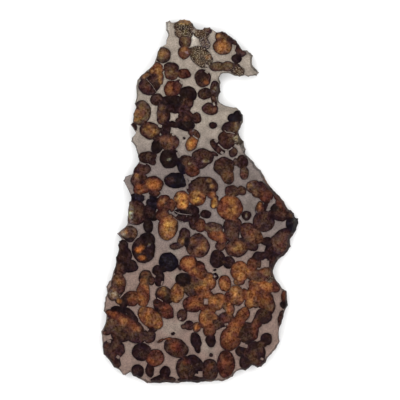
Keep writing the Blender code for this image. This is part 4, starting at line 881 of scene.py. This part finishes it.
@functools.lru_cache(maxsize=None)
def polished_olivine(tone):
    """Gem olivine, sawn and polished: a dark, glassy skin over stained and cracked depths that glow amber where clear."""
    material, tree, output = new_material("polished_olivine_" + tone)
    place = add_node(tree, "ShaderNodeTexCoord").outputs["Object"]
    body = add_node(tree, "ShaderNodeAttribute", attribute_name="body").outputs["Color"]
    light = add_node(tree, "ShaderNodeAttribute", attribute_name="light").outputs["Fac"]
    rim = add_node(tree, "ShaderNodeAttribute", attribute_name="rim").outputs["Fac"]
    # Stains about 2.4 mm across, pits of 0.5 mm and healed cracks 2 mm apart, as coarse as they need to show.
    stains = add_node(
        tree, "ShaderNodeTexNoise", {"Scale": 420.0, "Detail": 2.0, "Roughness": 0.5, "Distortion": 0.4},
        {"Vector": place})
    stained = add_node(
        tree, "ShaderNodeMapRange", {"From Min": 0.38, "From Max": 0.63, "To Min": 0.55, "To Max": 1.45},
        {"Value": stains.outputs["Fac"]})
    pits = add_node(
        tree, "ShaderNodeTexNoise", {"Scale": 1500.0, "Detail": 3.0, "Roughness": 0.75, "Distortion": 0.2},
        {"Vector": place})
    pitted = add_node(
        tree, "ShaderNodeMapRange", {"From Min": 0.34, "From Max": 0.66, "To Min": 0.4, "To Max": 1.74},
        {"Value": pits.outputs["Fac"]})
    cracks = add_node(
        tree, "ShaderNodeTexVoronoi", {"Scale": 480.0}, {"Vector": place}, feature="DISTANCE_TO_EDGE")
    cracked = add_node(
        tree, "ShaderNodeMapRange", {"From Min": 0.0, "From Max": 0.08, "To Min": 0.88, "To Max": 1.0},
        {"Value": cracks.outputs["Distance"]})
    depth = add_node(
        tree, "ShaderNodeMath", None, {0: stained.outputs["Result"], 1: light}, operation="MULTIPLY").outputs[0]
    flaws = add_node(
        tree, "ShaderNodeMath", None, {0: pitted.outputs["Result"], 1: cracked.outputs["Result"]},
        operation="MULTIPLY").outputs[0]
    # Light from deep inside comes back golden; scratches and pits on the skin are as grey as the light that falls on them.
    depths = body
    for amount, powers in ((depth, (1.0, 1.15, 0.6)), (flaws, (1.0, 1.4, 2.0))):
        cast = by_colour(tree, amount, powers)
        depths = add_node(
            tree, "ShaderNodeVectorMath", None, {0: depths, 1: cast}, operation="MULTIPLY").outputs[0]
    # Iron stain wanders from orange-red to yellow-green over about 2.2 mm.
    hues = add_node(
        tree, "ShaderNodeTexNoise", {"W": 3.0, "Scale": 450.0, "Detail": 1.0, "Roughness": 0.5}, {"Vector": place},
        noise_dimensions="4D")
    swing = add_node(
        tree, "ShaderNodeMapRange", {"From Min": 0.38, "From Max": 0.62, "To Min": 0.0, "To Max": 1.0},
        {"Value": hues.outputs["Fac"]})
    wander = add_node(
        tree, "ShaderNodeMix", {6: (1.08, 0.93, 0.97, 1.0), 7: (0.95, 1.06, 0.98, 1.0)},
        {0: swing.outputs["Result"]}, data_type="RGBA")
    depths = add_node(
        tree, "ShaderNodeVectorMath", None, {0: depths, 1: wander.outputs[2]}, operation="MULTIPLY")
    lining = add_node(tree, "ShaderNodeMath", {1: 0.45}, {0: rim}, operation="MULTIPLY")
    colour = add_node(
        tree, "ShaderNodeMix", {7: (*linear("#150D0D"), 1.0)}, {0: lining.outputs[0], 6: depths.outputs[0]},
        data_type="RGBA")
    # Pale flecks of 0.3 mm where the cloudy crystals are pitted: painted glints of the pits.
    cloudy = add_node(tree, "ShaderNodeAttribute", attribute_name="flecks").outputs["Fac"]
    dots = add_node(tree, "ShaderNodeTexNoise", {"Scale": 3000.0, "Detail": 1.0}, {"Vector": place})
    dotted = add_node(
        tree, "ShaderNodeMapRange", {"From Min": 0.55, "From Max": 0.66, "To Min": 0.0, "To Max": 0.7},
        {"Value": dots.outputs["Fac"]})
    fleck_glints = add_node(
        tree, "ShaderNodeMath", None, {0: dotted.outputs["Result"], 1: cloudy}, operation="MULTIPLY")
    colour = add_node(
        tree, "ShaderNodeMix", {7: (*linear("#AA9A86"), 1.0)}, {0: fleck_glints.outputs[0], 6: colour.outputs[2]},
        data_type="RGBA")
    gloss = add_node(
        tree, "ShaderNodeMapRange", {"From Min": 0.3, "From Max": 0.7, "To Min": 0.12, "To Max": 0.24},
        {"Value": pits.outputs["Fac"]})
    relief = add_node(
        tree, "ShaderNodeBump", {"Strength": 0.12, "Distance": 0.00005}, {"Height": pits.outputs["Fac"]})
    clear = tone in ("honey", "amber", "orange", "olive")
    surface = add_node(
        tree, "ShaderNodeBsdfPrincipled", {"IOR": 1.67, "Specular IOR Level": 0.3, "Transmission Weight": 0.12 if clear else 0.04},
        {"Base Color": colour.outputs[2], "Roughness": gloss.outputs["Result"], "Normal": relief.outputs["Normal"]})
    tree.links.new(surface.outputs["BSDF"], output.inputs["Surface"])
    return material


def polished_nickel_iron():
    """Nickel-iron, sawn and lapped: a soft grey-brown shine, clouded by tarnish."""
    material, tree, output = new_material("lapped_nickel_iron")
    place = add_node(tree, "ShaderNodeTexCoord").outputs["Object"]
    body = add_node(tree, "ShaderNodeAttribute", attribute_name="body").outputs["Color"]
    rim = add_node(tree, "ShaderNodeAttribute", attribute_name="rim").outputs["Fac"]
    # Clouds of tarnish 3 mm across and specks of 0.4 mm.
    clouds = add_node(
        tree, "ShaderNodeTexNoise", {"Scale": 330.0, "Detail": 3.0, "Roughness": 0.55}, {"Vector": place})
    clouded = add_node(
        tree, "ShaderNodeMapRange", {"From Min": 0.32, "From Max": 0.68, "To Min": 0.84, "To Max": 1.14},
        {"Value": clouds.outputs["Fac"]})
    specks = add_node(tree, "ShaderNodeTexNoise", {"Scale": 2400.0, "Detail": 3.0, "Roughness": 0.65}, {"Vector": place})
    speckled = add_node(
        tree, "ShaderNodeMapRange", {"From Min": 0.38, "From Max": 0.62, "To Min": 0.76, "To Max": 1.24},
        {"Value": specks.outputs["Fac"]})
    wear = add_node(
        tree, "ShaderNodeMath", None, {0: clouded.outputs["Result"], 1: speckled.outputs["Result"]},
        operation="MULTIPLY")
    # The body colour carries painted light and shade: lighter towards the head, halved on the broken edge, and white
    # painted highlights; the clouds and specks are tarnish.
    tarnish = add_node(tree, "ShaderNodeVectorMath", None, {0: body, 3: wear.outputs[0]}, operation="SCALE")
    lining = add_node(tree, "ShaderNodeMath", {1: 0.35}, {0: rim}, operation="MULTIPLY")
    colour = add_node(tree, "ShaderNodeMix", data_type="RGBA")
    colour.inputs[7].default_value = (*linear("#3A2D2A"), 1.0)
    tree.links.new(lining.outputs[0], colour.inputs["Factor"])
    tree.links.new(tarnish.outputs[0], colour.inputs[6])
    gloss = add_node(
        tree, "ShaderNodeMapRange", {"From Min": 0.3, "From Max": 0.7, "To Min": 0.42, "To Max": 0.58},
        {"Value": specks.outputs["Fac"]})
    relief = add_node(
        tree, "ShaderNodeBump", {"Strength": 0.15, "Distance": 0.00004}, {"Height": specks.outputs["Fac"]})
    surface = add_node(
        tree, "ShaderNodeBsdfPrincipled", {"Metallic": 0.75},
        {"Base Color": colour.outputs[2], "Roughness": gloss.outputs["Result"], "Normal": relief.outputs["Normal"]})
    tree.links.new(surface.outputs["BSDF"], output.inputs["Surface"])
    return material


def seam_mineral():
    """Rusted sulphide and phosphide that line the crystals: near black, dull and grainy."""
    material, tree, output = new_material("rusted_troilite")
    place = add_node(tree, "ShaderNodeTexCoord").outputs["Object"]
    # Grains of 0.4 mm.
    grain = add_node(tree, "ShaderNodeTexNoise", {"Scale": 2500.0, "Detail": 2.0}, {"Vector": place})
    colour = add_node(tree, "ShaderNodeMix", None, {"Factor": grain.outputs["Fac"]}, data_type="RGBA")
    colour.inputs[6].default_value = (*[0.6 * c for c in bpy.context.scene.pallasite.seam_colour], 1.0)
    colour.inputs[7].default_value = (*[1.5 * c for c in bpy.context.scene.pallasite.seam_colour], 1.0)
    surface = add_node(
        tree, "ShaderNodeBsdfPrincipled", {"Roughness": 0.7, "IOR": 1.5}, {"Base Color": colour.outputs[2]})
    tree.links.new(surface.outputs["BSDF"], output.inputs["Surface"])
    return material


@functools.lru_cache(maxsize=1)
def weathered_edge():
    """The broken, unpolished edge, dull with rust and old crust over the colours of metal and olivine; the metal's
    colour there is halved as painted shade.
    """
    material, tree, output = new_material("weathered_edge")
    place = add_node(tree, "ShaderNodeTexCoord").outputs["Object"]
    body = add_node(tree, "ShaderNodeAttribute", attribute_name="body").outputs["Color"]
    # Scabs of crust 1 mm across.
    scabs = add_node(tree, "ShaderNodeTexNoise", {"Scale": 1000.0, "Detail": 4.0, "Roughness": 0.6}, {"Vector": place})
    scabbed = add_node(
        tree, "ShaderNodeMapRange", {"From Min": 0.35, "From Max": 0.65, "To Min": 0.25, "To Max": 0.9},
        {"Value": scabs.outputs["Fac"]})
    colour = add_node(tree, "ShaderNodeVectorMath", None, {0: body, 3: scabbed.outputs["Result"]}, operation="SCALE")
    relief = add_node(
        tree, "ShaderNodeBump", {"Strength": 0.6, "Distance": 0.0002}, {"Height": scabs.outputs["Fac"]})
    surface = add_node(
        tree, "ShaderNodeBsdfPrincipled", {"Roughness": 0.85, "Specular IOR Level": 0.2},
        {"Base Color": colour.outputs[0], "Normal": relief.outputs["Normal"]})
    tree.links.new(surface.outputs["BSDF"], output.inputs["Surface"])
    return material


def paper():
    """Matt white paper, faintly uneven."""
    material, tree, output = new_material("matt_paper")
    place = add_node(tree, "ShaderNodeTexCoord").outputs["Object"]
    fibre = add_node(tree, "ShaderNodeTexNoise", {"Scale": 40.0, "Detail": 2.0}, {"Vector": place})
    colour = add_node(tree, "ShaderNodeMix", None, {"Factor": fibre.outputs["Fac"]}, data_type="RGBA")
    floor_colour = bpy.context.scene.pallasite.floor_colour
    colour.inputs[6].default_value = (*floor_colour, 1.0)
    colour.inputs[7].default_value = (*[0.985 * c for c in floor_colour], 1.0)
    surface = add_node(
        tree, "ShaderNodeBsdfPrincipled", {"Roughness": 0.9}, {"Base Color": colour.outputs[2]})
    tree.links.new(surface.outputs["BSDF"], output.inputs["Surface"])
    return material


def show(mesh):
    """Links a new piece that holds the mesh."""
    piece = bpy.data.objects.new(mesh.name, mesh)
    bpy.context.scene.collection.objects.link(piece)
    return piece


def reaches_back(name):
    """Whether a group of crystals goes right through the slice."""
    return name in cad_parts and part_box(name)[0].z < 0.0002


class PALLASITE_OT_metal(bpy.types.Operator):
    """Makes the nickel-iron with its pockets, and the dark seam that lines them"""
    bl_idname = "pallasite.metal"
    bl_label = "Nickel-iron"

    def execute(self, context):
        settings = context.scene.pallasite
        places, upper, _, pieces = face_plan()
        dark = [t for name, kept in pieces.items() if name not in ("metal", "seam") and not reaches_back(name) for t in kept]
        lined = pieces["metal"] + pieces["seam"]
        shelf = np.full(len(places), settings.pocket_floor)
        mesh = raised_mesh("polished_nickel_iron", lined + dark, 0.0, 2, (
            (lined + dark, shelf, 0), (lined, upper - settings.seam_depth, 1), (pieces["metal"], upper, 0)))
        plan_of = plan_points(mesh)
        here = places[plan_of]
        mesh.attributes.remove(mesh.attributes["plan_point"])
        # The metal's colour by height on the slice: painted light, lighter towards the head, and tarnish, pinker at the
        # foot.
        levels = (-25.0, -8.0, 12.0, 26.0)
        tarnish_and_painted_light_colours = np.array([settings.metal_foot, settings.metal_waist, settings.metal_waist, settings.metal_head])
        colours = np.stack([np.interp(here[:, 1], levels, tarnish_and_painted_light_colours[:, i]) for i in range(3)], axis=1)
        rows = [row for _, group in CRYSTALS.values() for row in group] + list(SLIGHT_CRYSTALS)
        gap = -crystal_depth(here, rows).max(axis=1) - settings.seam_width / MM
        # On the broken edge the metal is painted at half its colour: painted shade.
        broken = upper[plan_of] < settings.thickness - 0.00002
        keep(mesh, "body", lit(here, colours, METAL_MARKS) * np.where(broken, 0.5, 1.0)[:, None])
        keep(mesh, "rim", np.exp(-np.clip(gap, 0, None) / 0.25))
        mesh.materials.append(polished_nickel_iron())
        mesh.materials.append(seam_mineral())
        mesh.materials.append(weathered_edge())
        piece = show(mesh)
        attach(piece, "root")
        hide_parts("nickel_iron_matrix")
        return {"FINISHED"}


class PALLASITE_OT_crystals(bpy.types.Operator):
    """Makes the olivine crystals, one piece for each group that has grown together"""
    bl_idname = "pallasite.crystals"
    bl_label = "Olivine crystals"

    def execute(self, context):
        settings = context.scene.pallasite
        _, upper, _, pieces = face_plan()
        for name, (tone, _) in CRYSTALS.items():
            bottom = 0.0 if reaches_back(name) else settings.dark_bottom
            mesh = raised_mesh("polished_" + name, pieces[name], bottom, 1, ((pieces[name], upper, 0),))
            keep_looks(mesh)
            mesh.materials.append(polished_olivine(tone))
            mesh.materials.append(weathered_edge())
            piece = show(mesh)
            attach(piece, "root")
            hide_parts(name)
        return {"FINISHED"}


class PALLASITE_OT_slight_crystals(bpy.types.Operator):
    """Makes the slight single crystals and dots of olivine"""
    bl_idname = "pallasite.slight_crystals"
    bl_label = "Slight crystals"

    def execute(self, context):
        settings = context.scene.pallasite
        _, upper, _, pieces = face_plan()
        kept = pieces["slight_crystals"]
        mesh = raised_mesh("polished_slight_crystals", kept, settings.dark_bottom, 1, ((kept, upper, 0),))
        keep_looks(mesh)
        mesh.materials.append(polished_olivine("black"))
        mesh.materials.append(weathered_edge())
        piece = show(mesh)
        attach(piece, "root")
        return {"FINISHED"}


class PALLASITE_OT_stage(bpy.types.Operator):
    """Makes the paper floor, the soft light and the camera"""
    bl_idname = "pallasite.stage"
    bl_label = "Stage"

    def execute(self, context):
        scene = context.scene
        bm = bmesh.new()
        bmesh.ops.create_grid(bm, x_segments=8, y_segments=8, size=3.0)
        bmesh.ops.translate(bm, verts=bm.verts, vec=(0, 0, -0.00002))
        mesh = bpy.data.meshes.new("floor")
        bm.to_mesh(mesh)
        bm.free()
        mesh.materials.append(paper())
        show(mesh)

        # A wide ring of soft light, dark straight overhead and low down so that the polish shows depth and not glare.
        world = bpy.data.worlds.new("soft_ring")
        world.use_nodes = True
        scene.world = world
        tree = world.node_tree
        tree.nodes.clear()
        way = add_node(tree, "ShaderNodeTexCoord").outputs["Generated"]
        height = add_node(tree, "ShaderNodeSeparateXYZ", None, {"Vector": way}).outputs["Z"]
        ceiling = add_node(
            tree, "ShaderNodeMapRange", {"From Min": 0.72, "From Max": 0.91, "To Min": 2.5, "To Max": 0.03},
            {"Value": height}, interpolation_type="SMOOTHSTEP")
        walls = add_node(
            tree, "ShaderNodeMapRange", {"From Min": 0.22, "From Max": 0.5, "To Min": 0.16, "To Max": 1.0},
            {"Value": height}, interpolation_type="SMOOTHSTEP")
        ring = add_node(
            tree, "ShaderNodeMath", None, {0: ceiling.outputs["Result"], 1: walls.outputs["Result"]},
            operation="MULTIPLY")
        sky = add_node(
            tree, "ShaderNodeBackground", {"Color": (1.0, 1.0, 1.0, 1.0)}, {"Strength": ring.outputs[0]})
        output = add_node(tree, "ShaderNodeOutputWorld", None, {"Surface": sky.outputs["Background"]})
        output.is_active_output = True

        lamp = bpy.data.lights.new("soft_lamp", "AREA")
        lamp.shape = "DISK"
        lamp.size = 0.5
        lamp.energy = scene.pallasite.lamp_power
        lamp_object = bpy.data.objects.new("soft_lamp", lamp)
        lamp_object.location = (-0.45, 0.5, 0.75)
        lamp_object.rotation_euler = (-lamp_object.location).to_track_quat("-Z", "Y").to_euler()
        scene.collection.objects.link(lamp_object)

        # The slice is seen from straight above, 400 pixels to 133.3 mm.
        camera = bpy.data.cameras.new("camera")
        camera.lens = 300.0
        camera.sensor_width = 36.0
        camera_object = bpy.data.objects.new("camera", camera)
        camera_object.location = (0.00008, 0.00042, 1.1141)
        scene.collection.objects.link(camera_object)
        scene.camera = camera_object
        scene.view_settings.view_transform = "Standard"
        scene.cycles.use_denoising = True
        return {"FINISHED"}


class PALLASITE_PT_panel(bpy.types.Panel):
    """Lists the settings and the pieces"""
    bl_label = "Pallasite Slice"
    bl_idname = "PALLASITE_PT_panel"
    bl_space_type = "VIEW_3D"
    bl_region_type = "UI"
    bl_category = "Pallasite"

    def draw(self, context):
        for name in PallasiteSettings.__annotations__:
            self.layout.prop(context.scene.pallasite, name)
        for operator in OPERATORS:
            self.layout.operator(operator.bl_idname)


OPERATORS = (PALLASITE_OT_metal, PALLASITE_OT_crystals, PALLASITE_OT_slight_crystals, PALLASITE_OT_stage)
CLASSES = (PallasiteSettings, *OPERATORS, PALLASITE_PT_panel)


def register():
    for cls in CLASSES:
        bpy.utils.register_class(cls)
    bpy.types.Scene.pallasite = PointerProperty(type=PallasiteSettings)


def unregister():
    del bpy.types.Scene.pallasite
    for cls in reversed(CLASSES):
        bpy.utils.unregister_class(cls)


def main():
    register()
    bpy.ops.pallasite.metal()
    bpy.ops.pallasite.crystals()
    bpy.ops.pallasite.slight_crystals()
    bpy.ops.pallasite.stage()


if __name__ == "__main__":
    main()
